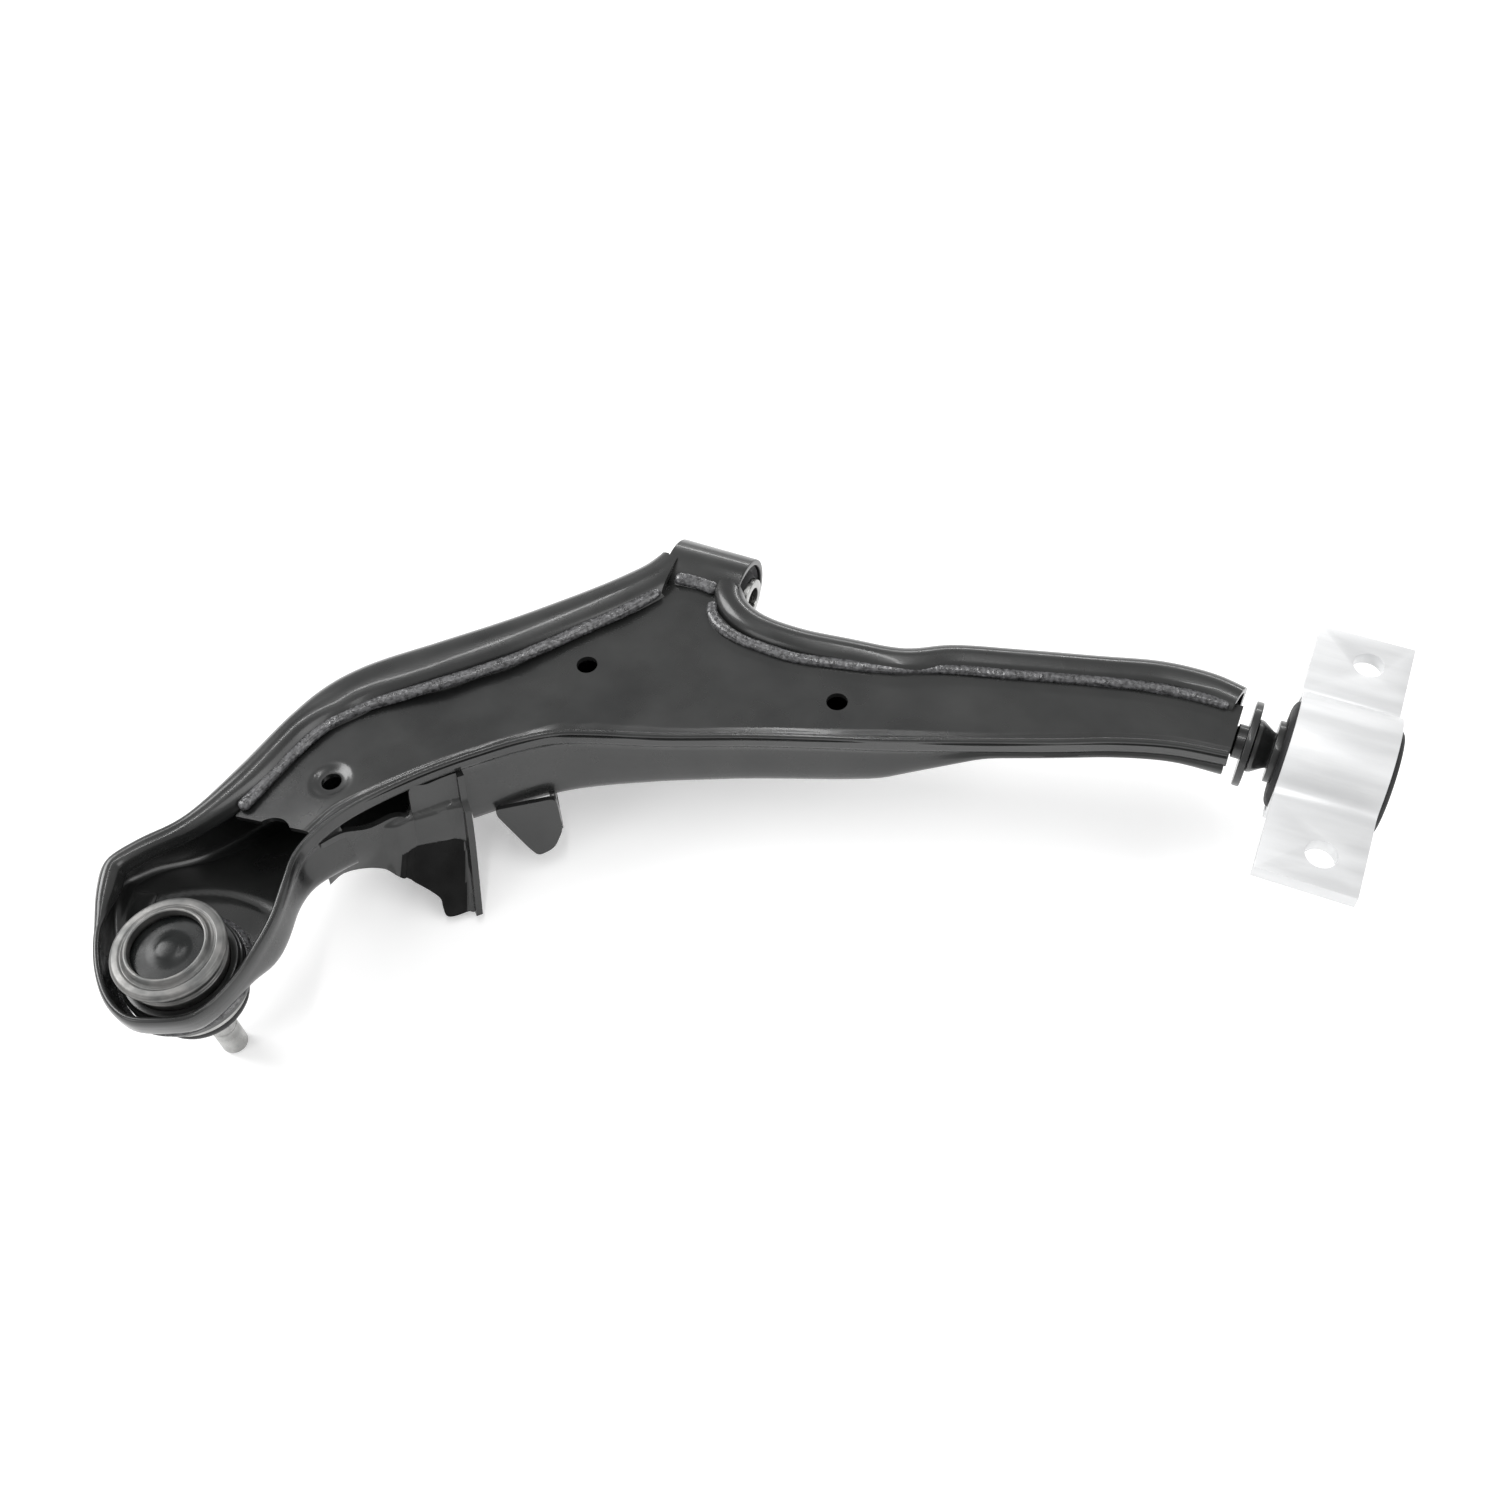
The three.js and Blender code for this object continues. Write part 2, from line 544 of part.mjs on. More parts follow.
// Bracket outline in Y and Z: two ears, blended into the ring above and below.
function bracketOutline() {
  const shape = new THREE.Shape();
  const earBottom = EAR_TOP - EAR_THICKNESS;
  const tangency = (level, radius) => {
    const centreZ = level + radius;
    const centreY = Math.sqrt((REAR_RING_R + Math.abs(radius)) ** 2 - centreZ ** 2);
    return { centreY, centreZ, ringAngle: Math.atan2(centreZ, centreY) };
  };
  const top = tangency(EAR_TOP, 7);
  const under = tangency(earBottom, -4);
  shape.moveTo(EAR_HALF_SPAN, earBottom);
  shape.lineTo(EAR_HALF_SPAN, EAR_TOP);
  shape.absarc(top.centreY, top.centreZ, 7, -Math.PI / 2, top.ringAngle - Math.PI, true);
  shape.absarc(0, 0, REAR_RING_R, top.ringAngle, Math.PI - top.ringAngle, false);
  shape.absarc(-top.centreY, top.centreZ, 7, -top.ringAngle, -Math.PI / 2, true);
  shape.lineTo(-EAR_HALF_SPAN, EAR_TOP);
  shape.lineTo(-EAR_HALF_SPAN, earBottom);
  shape.absarc(-under.centreY, under.centreZ, 4, Math.PI / 2, -under.ringAngle, true);
  shape.absarc(0, 0, REAR_RING_R, Math.PI - under.ringAngle, 2 * Math.PI + under.ringAngle, false);
  shape.absarc(under.centreY, under.centreZ, 4, Math.PI + under.ringAngle, Math.PI / 2, true);
  return shape.getPoints(16);
}

function rearBracket() {
  const width = 2 * REAR_HALF_WIDTH;
  const body = slab(bracketOutline(), width).rotate([90, 0, 0]).rotate([0, 0, 90]).translate([-REAR_HALF_WIDTH, 0, 0]);
  const bore = rod(REAR_BORE_R, -40, 40, 48).rotate([0, 90, 0]);
  const holes = [-1, 1].map((side) => rod(EAR_HOLE_R, 0, 20, 32).translate([EAR_HOLE_X, side * EAR_HOLE_Y, 0]));
  return cut(body, bore, ...holes);
}

// ---------------------------------------------------------------- stabiliser brackets
// Skirt that takes the place of the near wall and leans out to a hanging tab. Columns run from its left
// end to its right edge; each holds the outer face's top, middle and bottom point.
const SKIRT_COLUMNS = [
  [[-406, -207, 5], [-408, -209, -14], [-409, -210, -27]],
  [[-402, -197, 2], [-404, -199, -14], [-408, -201, -30]],
  [[-396, -187, -5], [-397, -189, -18], [-402, -193, -34]],
  [[-390, -178, -6], [-391, -182, -18], [-393, -189.5, -35]],
  [[-384, -170, -6], [-384, -174, -20], [-383, -187, -40]],
  [[-383, -168, 6], [-383, -173, -20], [-382, -187, -41]],
  [[-377, -161, 6], [-375, -168, -24], [-371.5, -185, -53]],
  [[-372, -155, 6], [-369, -163, -24], [-366.5, -189, -61]],
  [[-366, -149, 6], [-362, -159, -20], [-355, -179, -61]],
];
const SKIRT_INWARD = [-2, 2, 0]; // thickness of the skirt, towards the shell

function stabiliserTab() {
  const inward = new THREE.Vector3(...SKIRT_INWARD);
  const rings = SKIRT_COLUMNS.map((column) => {
    const outer = column.map((p) => new THREE.Vector3(...p));
    return [...outer, ...outer.map((p) => p.clone().add(inward)).reverse()];
  });
  const outline = [[0, 0], [0, 1], [0, 2], [1, 2], [1, 1], [1, 0]].map(([x, y]) => new THREE.Vector2(x, y));
  const skirt = skin(rings, outline, outline);
  // Turned-out flange along the right edge stiffens the tab.
  const edge = SKIRT_COLUMNS.at(-1).map((p) => new THREE.Vector3(...p));
  const out = new THREE.Vector3(2.2, -1.6, 0);
  const side = new THREE.Vector3(-2.2, -2.2, 0);
  const flangeRings = edge.map((p) => [
    p.clone().add(inward),
    p.clone().add(out),
    p.clone().add(out).add(side),
    p.clone().add(inward).add(side),
  ]);
  const square = [[0, 0], [1, 0], [1, 1], [0, 1]].map(([x, y]) => new THREE.Vector2(x, y));
  return mainBody(cut(join(skirt, skin(flangeRings, square, square)), shell(2 * GAP)));
}

// Ear: a leaning triangular plate with a flange along its right edge, pierced by a hole.
const EAR_ORIGIN = new THREE.Vector3(-333.5, -127.5, -20);
const EAR_ALONG = new THREE.Vector3(-0.82, -0.57, 0).normalize();
const EAR_DOWN = new THREE.Vector3(0.14, -0.2, -0.97).normalize();

function stabiliserEar() {
  const plate = new THREE.Shape();
  plate.moveTo(0, -2);
  plate.lineTo(0, 20);
  plate.quadraticCurveTo(2, 31, 10, 36);
  plate.quadraticCurveTo(14, 38.5, 17, 34);
  plate.lineTo(29, 8);
  plate.lineTo(29, -2);
  const normal = new THREE.Vector3().crossVectors(EAR_ALONG, EAR_DOWN).normalize();
  const place = (solid, x, y, z) =>
    solid.transform(new THREE.Matrix4().makeBasis(x, y, z).setPosition(EAR_ORIGIN).toArray());
  const inwardNormal = normal.y > 0 ? normal : normal.clone().negate();
  const face = place(slab(plate.getPoints(6), SHEET), EAR_ALONG, EAR_DOWN, normal);
  const flangeShape = [[0, 4], [13, 4], [15, 8], [15, 20], [7, 29], [0, 27]].map(([x, y]) => new THREE.Vector2(x, y));
  const flangeNormal = new THREE.Vector3().crossVectors(inwardNormal, EAR_DOWN).normalize();
  const flange = place(slab(flangeShape, SHEET, [circle(10, 15, 4)]), inwardNormal, EAR_DOWN, flangeNormal);
  return mainBody(cut(join(face, flange), shell(2 * GAP)));
}

// ---------------------------------------------------------------- ball joint
const ballJointCollar = () =>
  overBall(turned([[HOUSING_R + GAP, -6], [COLLAR_R, -6], [COLLAR_R, 7], [24.6, 8], [24.6, 10], [HOUSING_R + GAP, 10]], 48));

const ballJointHousing = () =>
  overBall(turned([
    [12.4, -8], [14.9, -14], [18, -14], [18, -10.4], [HOUSING_R, -10.4], [HOUSING_R, -9.1], [20, -9.1], [20, -7.3],
    [HOUSING_R, -7.3], [HOUSING_R, 22.2], [CAP_LIP_R, 22.6], [CAP_LIP_R, 24.8], [22.6, 25.4], [18.4, 25.2],
    [17.4, CAP_TOP], [15.6, CAP_TOP], [15.6, 23.9], [16.8, 23.6], [16.8, -8],
  ], 48));

const ballJointCover = () =>
  overBall(turned([[0, 17.6], [16.4, 17.6], [16.4, 23.2], [15.2, 23.4], [12, 24.4], [7, 25.4], [4, 25.8], [0, 25.8]]));

const preloadWasher = () => overBall(turned([[8, 15.3], [15.6, 16], [15.6, 17.2], [8, 16.5]]));

function ballSeat() {
  const clear = BALL_R + GAP;
  const sphere = (height) => Math.sqrt(clear ** 2 - (height - BALL_CENTRE_Z) ** 2);
  const heights = [-3.5, -1, 2, 5, 8, 10.5, 12.5];
  return overBall(turned([
    [12, -7.6], [16.4, -7.6], [16.4, 14.9], [sphere(12.5), 14.9],
    ...heights.toReversed().map((height) => [sphere(height), height]),
  ]));
}

function ballStud() {
  const polar = (degrees) => [
    BALL_R * Math.sin(THREE.MathUtils.degToRad(degrees)),
    BALL_CENTRE_Z + BALL_R * Math.cos(THREE.MathUtils.degToRad(degrees)),
  ];
  const ball = [20, 35, 50, 65, 80, 95, 110, 125, 140, 150].map(polar);
  return overBall(turned([
    [0, STUD_TIP_Z], [STUD_R - 1.2, STUD_TIP_Z], [STUD_R, STUD_TIP_Z + 1.5], [STUD_R, -16],
    ...ball.toReversed(), [0, polar(20)[1]],
  ], 32));
}

const dustBoot = () =>
  overBall(turned([
    [18.3, -10.9], [20.4, -10.9], [20.4, -14.6], [21.2, -17], [20.2, -20], [15, -25], [9.6, -28.6], [9.6, -33],
    [6.4, -33], [6.4, -30], [8, -27.2], [13.4, -23.6], [18.2, -19], [18.9, -16.6], [18.3, -14.6],
  ]));
const bootLargeRing = () => overBall(tube(20.75, 22.2, -13.8, -11.6));
const bootSmallRing = () => overBall(tube(9.95, 11.4, -32, -29.8, 32));

// Open snap ring in the housing's groove, under the collar.
function snapRing() {
  const ring = tube(20.35, 24, -8.9, -7.6);
  const mouth = slab([[-4, -40], [4, -40], [4, 0], [-4, 0]].map(([x, y]) => new THREE.Vector2(x, y)), 20);
  return overBall(cut(ring, mouth.translate([0, 0, -15])));
}

// Fillet of weld between the pan's floor and the collar, where the rim leaves room for it.
function collarWeld() {
  const fillet = turned([[COLLAR_R + GAP, 1.3], [COLLAR_R + 3.4, 1.3], [COLLAR_R + GAP, 4.6]], 48);
  return mainBody(cut(overBall(fillet), shell(3 * GAP)));
}

// ---------------------------------------------------------------- the assembly
const PIECES = [
  ["lower_shell", shell, blackCoat],
  ["top_plate", topPlate, blackCoat],
  ["plate_weld_left", () => plateWeld(LEFT_WELD, leftPlateHeight, 22), blackCoat],
  ["plate_weld_right", () => plateWeld(RIGHT_WELD, rightPlateHeight, 24), blackCoat],
  ["sleeve_saddle_weld", saddleWeld, blackCoat],
  ["front_bush_outer_sleeve", frontOuterSleeve, blackCoat],
  ["front_bush_rubber", frontRubber, blackRubber],
  ["front_bush_inner_sleeve", frontInnerSleeve, bareSteel],
  ["rear_pin", rearPin, blackCoat],
  ["rear_pin_washer", rearPinWasher, blackCoat],
  ["rear_bush_inner_sleeve", rearInnerSleeve, blackCoat],
  ["rear_bush_rubber", rearRubber, blackRubber],
  ["rear_bush_outer_sleeve", rearOuterSleeve, bareSteel],
  ["rear_bracket", rearBracket, castAluminium],
  ["stabiliser_tab_bracket", stabiliserTab, blackCoat],
  ["stabiliser_ear_bracket", stabiliserEar, blackCoat],
  ["ball_joint_collar", ballJointCollar, blackCoat],
  ["collar_weld", collarWeld, blackCoat],
  ["ball_joint_housing", ballJointHousing, bareSteel],
  ["ball_joint_cover", ballJointCover, blackCoat],
  ["preload_washer", preloadWasher, bareSteel],
  ["ball_seat", ballSeat, whitePolymer],
  ["ball_stud", ballStud, bareSteel],
  ["snap_ring", snapRing, bareSteel],
  ["dust_boot", dustBoot, blackRubber],
  ["boot_large_ring", bootLargeRing, bareSteel],
  ["boot_small_ring", bootSmallRing, bareSteel],
];

const arm = new THREE.Group();
for (const [name, shape, material] of PIECES) {
  const mesh = new THREE.Mesh(toGeometry(shape()), material());
  mesh.name = name;
  arm.add(mesh);
}
arm.position.x = -PIN_END_X;

const part = new THREE.Group();
part.add(arm);
export default part;
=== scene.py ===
"""Looks of a pressed-steel suspension control arm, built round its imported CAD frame.

Outlines are given in millimetres in bush coordinates: X along the hinge axis, Z up, and the
origin in the middle of the rear bush. place() turns them into the frame's metres.
"""

import math

import bmesh
import bpy
import numpy as np
from mathutils import Matrix, Vector, noise


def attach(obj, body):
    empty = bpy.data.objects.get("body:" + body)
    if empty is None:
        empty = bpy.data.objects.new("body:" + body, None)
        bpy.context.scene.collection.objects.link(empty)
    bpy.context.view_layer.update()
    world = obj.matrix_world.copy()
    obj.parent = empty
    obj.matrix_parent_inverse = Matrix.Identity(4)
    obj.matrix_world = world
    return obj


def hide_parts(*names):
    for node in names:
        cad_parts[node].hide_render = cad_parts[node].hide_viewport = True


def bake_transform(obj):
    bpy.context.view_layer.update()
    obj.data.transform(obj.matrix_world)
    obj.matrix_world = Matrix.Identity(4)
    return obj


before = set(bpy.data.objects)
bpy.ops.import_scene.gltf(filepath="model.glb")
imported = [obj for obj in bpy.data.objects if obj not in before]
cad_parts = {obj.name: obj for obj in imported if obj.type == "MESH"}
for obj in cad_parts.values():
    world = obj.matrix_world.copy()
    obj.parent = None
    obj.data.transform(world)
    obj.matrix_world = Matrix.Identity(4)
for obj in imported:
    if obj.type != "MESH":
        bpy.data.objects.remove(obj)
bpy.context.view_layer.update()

# ---------------------------------------------------------------- driving dimensions, millimetres
PIN_END_X = 24.0
SHEET = 2.8  # thickness of the pressed sheet
GAP = 0.35  # clearance between separate pieces
PLATE_TOP = 14.0

REAR_HALF_WIDTH = 21.75
REAR_RING_R = 30.0
REAR_BORE_R = 26.9
EAR_HALF_SPAN = 72.0
EAR_TOP = 11.5
EAR_THICKNESS = 7.0
EAR_HOLE = (3.5, 55.5, 7.0)  # x, y on both sides, radius
UPPER_FILLET = 7.0  # where the ring runs into the ears
LOWER_FILLET = 4.0

FRONT_R = 20.0
FRONT_WALL = 3.1
FRONT_LEFT_X = -327.0
FRONT_RIGHT_X = -287.0

BALL_X = -426.3
BALL_Y = -283.0
BALL_CENTRE_Z = 2.0
BALL_R = 12.5
COLLAR_R = 26.0
STUD_R = 6.0
STUD_TIP_Z = -66.0
FLOOR_Z = STUD_TIP_Z - 0.3


def place(points):
    """Bush coordinates in millimetres to the frame's metres."""
    return (np.asarray(points, float) - (PIN_END_X, 0, 0)) / 1000


# ---------------------------------------------------------------- shader helpers
def new_material(name, **sockets):
    """A Principled material; sockets are set by name, with _ for a space."""
    material = bpy.data.materials.new(name)
    material.use_nodes = True
    shader = material.node_tree.nodes["Principled BSDF"]
    for key, value in sockets.items():
        shader.inputs[key.replace("_", " ")].default_value = value
    return material


def add_node(material, kind, links=(), **values):
    """A node with inputs set by name and linked from (socket name, output socket) pairs."""
    node = material.node_tree.nodes.new(kind)
    for key, value in values.items():
        if hasattr(node, key):
            setattr(node, key, value)
        else:
            node.inputs[key.replace("_", " ")].default_value = value
    for name, output in links:
        material.node_tree.links.new(output, node.inputs[name])
    return node


def feed_shader(material, socket, output):
    shader = material.node_tree.nodes["Principled BSDF"]
    material.node_tree.links.new(output, shader.inputs[socket])


def noise_pattern(material, detail, scale, stretch=(1, 1, 1)):
    """Noise fixed to the object, its coordinates in metres times stretch."""
    coordinates = add_node(material, "ShaderNodeTexCoord")
    mapping = add_node(
        material,
        "ShaderNodeMapping",
        links=[("Vector", coordinates.outputs["Object"])],
        Scale=stretch,
    )
    texture = add_node(
        material,
        "ShaderNodeTexNoise",
        links=[("Vector", mapping.outputs["Vector"])],
        Scale=scale,
        Detail=detail,
    )
    return texture.outputs["Fac"]


def mottle(material, dark, light, *pattern):
    """Base colour wanders between dark and light."""
    ramp = add_node(
        material,
        "ShaderNodeValToRGB",
        links=[("Fac", noise_pattern(material, 4.0, *pattern))],
    )
    for stop, position, colour in zip(ramp.color_ramp.elements, (0.35, 0.7), (dark, light)):
        stop.position = position
        stop.color = (*colour, 1)
    feed_shader(material, "Base Color", ramp.outputs["Color"])


def vary_roughness(material, low, high, *pattern):
    """Roughness wanders between low and high."""
    spread = add_node(
        material,
        "ShaderNodeMapRange",
        links=[("Value", noise_pattern(material, 5.0, *pattern))],
        From_Min=0.3,
        From_Max=0.7,
        To_Min=low,
        To_Max=high,
    )
    feed_shader(material, "Roughness", spread.outputs["Result"])


def roughen(material, layers):
    """Bump from layers of noise, each (height in metres, scale, stretch)."""
    below = []
    for height, *pattern in layers:
        bump = add_node(
            material,
            "ShaderNodeBump",
            links=[("Height", noise_pattern(material, 3.0, *pattern)), *below],
            Strength=1.0,
            Distance=height,
        )
        below = [("Normal", bump.outputs["Normal"])]
    feed_shader(material, "Normal", bump.outputs["Normal"])


def surface(name, colours, roughness, bumps, **sockets):
    """Material whose colour, roughness and relief all come from noise.

    colours is (dark, light, scale), roughness (low, high, scale), and each of bumps
    (height, scale). A stretch may follow any scale."""
    material = new_material(name, **sockets)
    mottle(material, *colours)
    vary_roughness(material, *roughness)
    roughen(material, bumps)
    return material


# ---------------------------------------------------------------- materials
# Black electro-dip coat: semi-gloss, with a faint orange peel.
COAT = surface(
    "dip_coat",
    ((0.009, 0.0095, 0.0095), (0.019, 0.0195, 0.019), 26),
    (0.22, 0.38, 45),
    [(0.00007, 60), (0.000008, 900)],
    Specular_IOR_Level=0.5,
    Coat_Weight=0.3,
    Coat_Roughness=0.1,
)
# Painted shade: a duller, darker coat for the recess in the hanging tab, standing in for the shade
# that falls in it.
PAINTED_SHADE_COAT = surface(
    "painted_shade_coat",
    ((0.004, 0.004, 0.004), (0.009, 0.009, 0.009), 90),
    (0.5, 0.7, 120),
    [(0.00003, 600)],
    Specular_IOR_Level=0.12,
)
# The same coat over weld metal, thin enough on the crests for them to glint.
WELD = surface(
    "coated_weld",
    ((0.008, 0.008, 0.009), (0.11, 0.11, 0.115), 520),
    (0.14, 0.45, 300),
    [(0.0005, 650)],
    Specular_IOR_Level=0.7,
    Coat_Weight=0.5,
    Coat_Roughness=0.08,
)
# Sawn extrusion: pale and satin, with fine lines along its length.
ALUMINIUM = surface(
    "extruded_aluminium",
    ((0.64, 0.645, 0.65), (0.71, 0.715, 0.72), 90, (0.3, 1, 1)),
    (0.36, 0.56, 180, (0.06, 1, 1)),
    [(0.00006, 380, (0.03, 1, 1)), (0.00003, 120)],
    Metallic=0.5,
)
STEEL = surface(
    "turned_steel",
    ((0.28, 0.28, 0.274), (0.44, 0.44, 0.43), 120),
    (0.2, 0.36, 200),
    [(0.00001, 500, (1, 1, 6))],
    Metallic=1.0,
)
# Grey phosphated steel, rubbed brighter in patches.
HOUSING = surface(
    "phosphated_steel",
    ((0.11, 0.112, 0.11), (0.21, 0.206, 0.2), 110),
    (0.34, 0.52, 160),
    [(0.00002, 900)],
    Metallic=0.85,
)
RUBBER = surface(
    "black_rubber",
    ((0.009, 0.009, 0.01), (0.018, 0.018, 0.019), 90),
    (0.5, 0.72, 150),
    [(0.00002, 1200)],
    Specular_IOR_Level=0.35,
)
COVER = surface(
    "glossy_cover",
    ((0.006, 0.007, 0.007), (0.013, 0.014, 0.014), 80),
    (0.2, 0.34, 120),
    [(0.00003, 150)],
    Specular_IOR_Level=0.3,
)
POLYMER = surface(
    "bearing_polymer",
    ((0.74, 0.72, 0.66), (0.84, 0.82, 0.77), 140),
    (0.42, 0.58, 200),
    [(0.00001, 800)],
)


# ---------------------------------------------------------------- mesh helpers
def mesh_object(name, points, faces):
    """Object from points in millimetres, bush coordinates."""
    mesh = bpy.data.meshes.new(name)
    mesh.from_pydata([tuple(p) for p in place(points)], [], faces)
    mesh.validate()
    made = bpy.data.objects.new(name, mesh)
    bpy.context.collection.objects.link(made)
    return made


def finish_piece(piece, node, material, body="arm", sharp=35):
    """Gives the piece its material, smooth shading and body, and hides the CAD node it stands for.
    """
    piece.data.materials.clear()
    piece.data.materials.append(material)
    piece.data.shade_smooth()
    piece.data.set_sharp_from_angle(angle=math.radians(sharp))
    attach(piece, body)
    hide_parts(node)


def applied(piece):
    """Bakes the object's modifiers into its mesh."""
    graph = bpy.context.evaluated_depsgraph_get()
    mesh = bpy.data.meshes.new_from_object(piece.evaluated_get(graph))
    piece.modifiers.clear()
    piece.data = mesh
    return piece


def combine(piece, tool, operation):
    """Boolean of two closed meshes; the tool is used up."""
    modifier = piece.modifiers.new("combine", "BOOLEAN")
    modifier.object = tool
    modifier.operation = operation
    modifier.solver = "MANIFOLD"
    applied(piece)
    bpy.data.objects.remove(tool)
    return piece


def cut(piece, *tools):
    for tool in tools:
        combine(piece, tool, "DIFFERENCE")
    return piece


def join(piece, *others):
    for other in others:
        combine(piece, other, "UNION")
    return piece


def bevelled(piece, width, angle=40):
    """Bevels, width in millimetres, on edges sharper than angle."""
    modifier = piece.modifiers.new("bevel", "BEVEL")
    modifier.width = width / 1000
    modifier.segments = 3
    modifier.limit_method = "ANGLE"
    modifier.angle_limit = math.radians(angle)
    modifier.use_clamp_overlap = True
    return applied(piece)


def skin(name, rings):
    """Closed skin over rings, an array of shape (rings, points, 3), with flat ends."""
    count, size = rings.shape[:2]
    faces = []
    for i in range(count - 1):
        for j in range(size):
            a, b = i * size + j, i * size + (j + 1) % size
            faces.append((a, b, b + size, a + size))
    faces.append(tuple(range(size))[::-1])
    faces.append(tuple((count - 1) * size + j for j in range(size)))
    made = mesh_object(name, rings.reshape(-1, 3), faces)
    return outward(made)


def outward(piece):
    """Turns the faces out, by the sign of the volume."""
    edit = bmesh.new()
    edit.from_mesh(piece.data)
    if edit.calc_volume(signed=True) < 0:
        bmesh.ops.reverse_faces(edit, faces=edit.faces)
    edit.to_mesh(piece.data)
    edit.free()
    return piece


def prism(name, outline, low, high, axis="Z"):
    """Outline in the plane square to axis, extruded from low to high."""
    flat = np.asarray(outline, float)
    rings = []
    for level in (low, high):
        if axis == "X":
            rings.append(np.column_stack([np.full(len(flat), level), flat]))
        else:
            rings.append(np.column_stack([flat, np.full(len(flat), level)]))
    return skin(name, np.array(rings))


def circle(x, y, radius, count=96):
    turn = np.linspace(0, 2 * math.pi, count, endpoint=False)
    return np.column_stack([x + radius * np.cos(turn), y + radius * np.sin(turn)])


MOST_ROUNDING = 0.42  # of the edge on either side of a corner


def rounded(profile, radius, steps=5, closed=True):
    """Profile with each corner rounded as far as its neighbours allow."""
    points = [np.array(p, float) for p in profile]
    made = []
    for i, corner in enumerate(points):
        if not closed and i in (0, len(points) - 1):
            made.append(corner)
            continue
        back = points[i - 1] - corner
        ahead = points[(i + 1) % len(points)] - corner
        back_length, ahead_length = np.linalg.norm(back), np.linalg.norm(ahead)
        reach = min(radius, MOST_ROUNDING * back_length, MOST_ROUNDING * ahead_length)
        start = corner + back / back_length * reach
        end = corner + ahead / ahead_length * reach
        for t in np.linspace(0, 1, steps):
            made.append(
                (1 - t) ** 2 * start + 2 * t * (1 - t) * corner + t**2 * end
            )
    return made


def turned(name, profile, rounding, along="Z"):
    """Turned piece from (radius, height) points, on the ball joint's axis or along the hinge axis.

    A profile that starts and ends at radius 0 is solid; any other closes on itself."""
    count = 144
    solid = profile[0][0] == 0 and profile[-1][0] == 0
    line = rounded(profile, rounding, closed=not solid)
    turn = np.linspace(0, 2 * math.pi, count, endpoint=False)
    points, faces, rows = [], [], []
    for radius, height in line:
        if radius < 1e-9:
            rows.append([len(points)] * count)
            points.append((0, 0, height))
            continue
        rows.append(list(range(len(points), len(points) + count)))
        points += [(radius * math.cos(t), radius * math.sin(t), height) for t in turn]
    pairs = list(zip(rows, rows[1:]))
    if not solid:
        pairs.append((rows[-1], rows[0]))
    for low, high in pairs:
        for j in range(count):
            k = (j + 1) % count
            corners = (low[j], low[k], high[k], high[j])
            faces.append(tuple(dict.fromkeys(corners)))
    points = np.array(points, float)
    if along == "X":
        points = points[:, [2, 0, 1]]
    else:
        points += (BALL_X, BALL_Y, 0)
    return outward(mesh_object(name, points, faces))


def rod(radius, low, high, count=96):
    """Plain cutting cylinder on the hinge axis."""
    return prism("rod", circle(0, 0, radius, count), low, high, "X")


# ---------------------------------------------------------------- curves
def smooth_curve(points, spacing=None, steps=None):
    """Centripetal Catmull-Rom curve, sampled about every spacing or in steps per span.

    Its knots are spaced by the first two coordinates. Returns the samples and, for each, its
    place counted in points."""
    points = np.asarray(points, float)
    before, after = 2 * points[0] - points[1], 2 * points[-1] - points[-2]
    padded = np.vstack([before, points, after])
    samples, places = [], []
    for i in range(len(points) - 1):
        p0, p1, p2, p3 = padded[i : i + 4]
        t1 = np.linalg.norm(p1[:2] - p0[:2]) ** 0.5
        t2 = t1 + np.linalg.norm(p2[:2] - p1[:2]) ** 0.5
        t3 = t2 + np.linalg.norm(p3[:2] - p2[:2]) ** 0.5
        count = steps or max(2, round(np.linalg.norm(p2 - p1) / spacing))
        for k in range(count + (i == len(points) - 2)):
            t = t1 + (t2 - t1) * k / count
            a1 = p0 + (p1 - p0) * t / t1
            a2 = p1 + (p2 - p1) * (t - t1) / (t2 - t1)
            a3 = p2 + (p3 - p2) * (t - t2) / (t3 - t2)
            b1 = a1 + (a2 - a1) * t / t2
            b2 = a2 + (a3 - a2) * (t - t1) / (t3 - t1)
            samples.append(b1 + (b2 - b1) * (t - t1) / (t2 - t1))
            places.append(i + k / count)
    return np.array(samples), np.array(places)


def directions(line):
    """Unit directions along a sampled line."""
    step = np.gradient(line, axis=0)
    return step / np.linalg.norm(step, axis=1, keepdims=True)


def soften(values, width):
    """Weighted moving average along the first axis, its ends held."""
    kernel = np.hanning(2 * width + 3)[1:-1]
    kernel /= kernel.sum()
    flat = values.reshape(len(values), -1)
    padded = np.vstack([flat[:1]] * width + [flat] + [flat[-1:]] * width)
    made = [np.convolve(padded[:, i], kernel, "valid") for i in range(flat.shape[1])]
    return np.array(made).T.reshape(values.shape)


def smoothstep(value, low, high):
    """0 at low, 1 at high, which may be the smaller, and smooth between them."""
    t = np.clip((np.asarray(value, float) - low) / (high - low), 0, 1)
    return t * t * (3 - 2 * t)


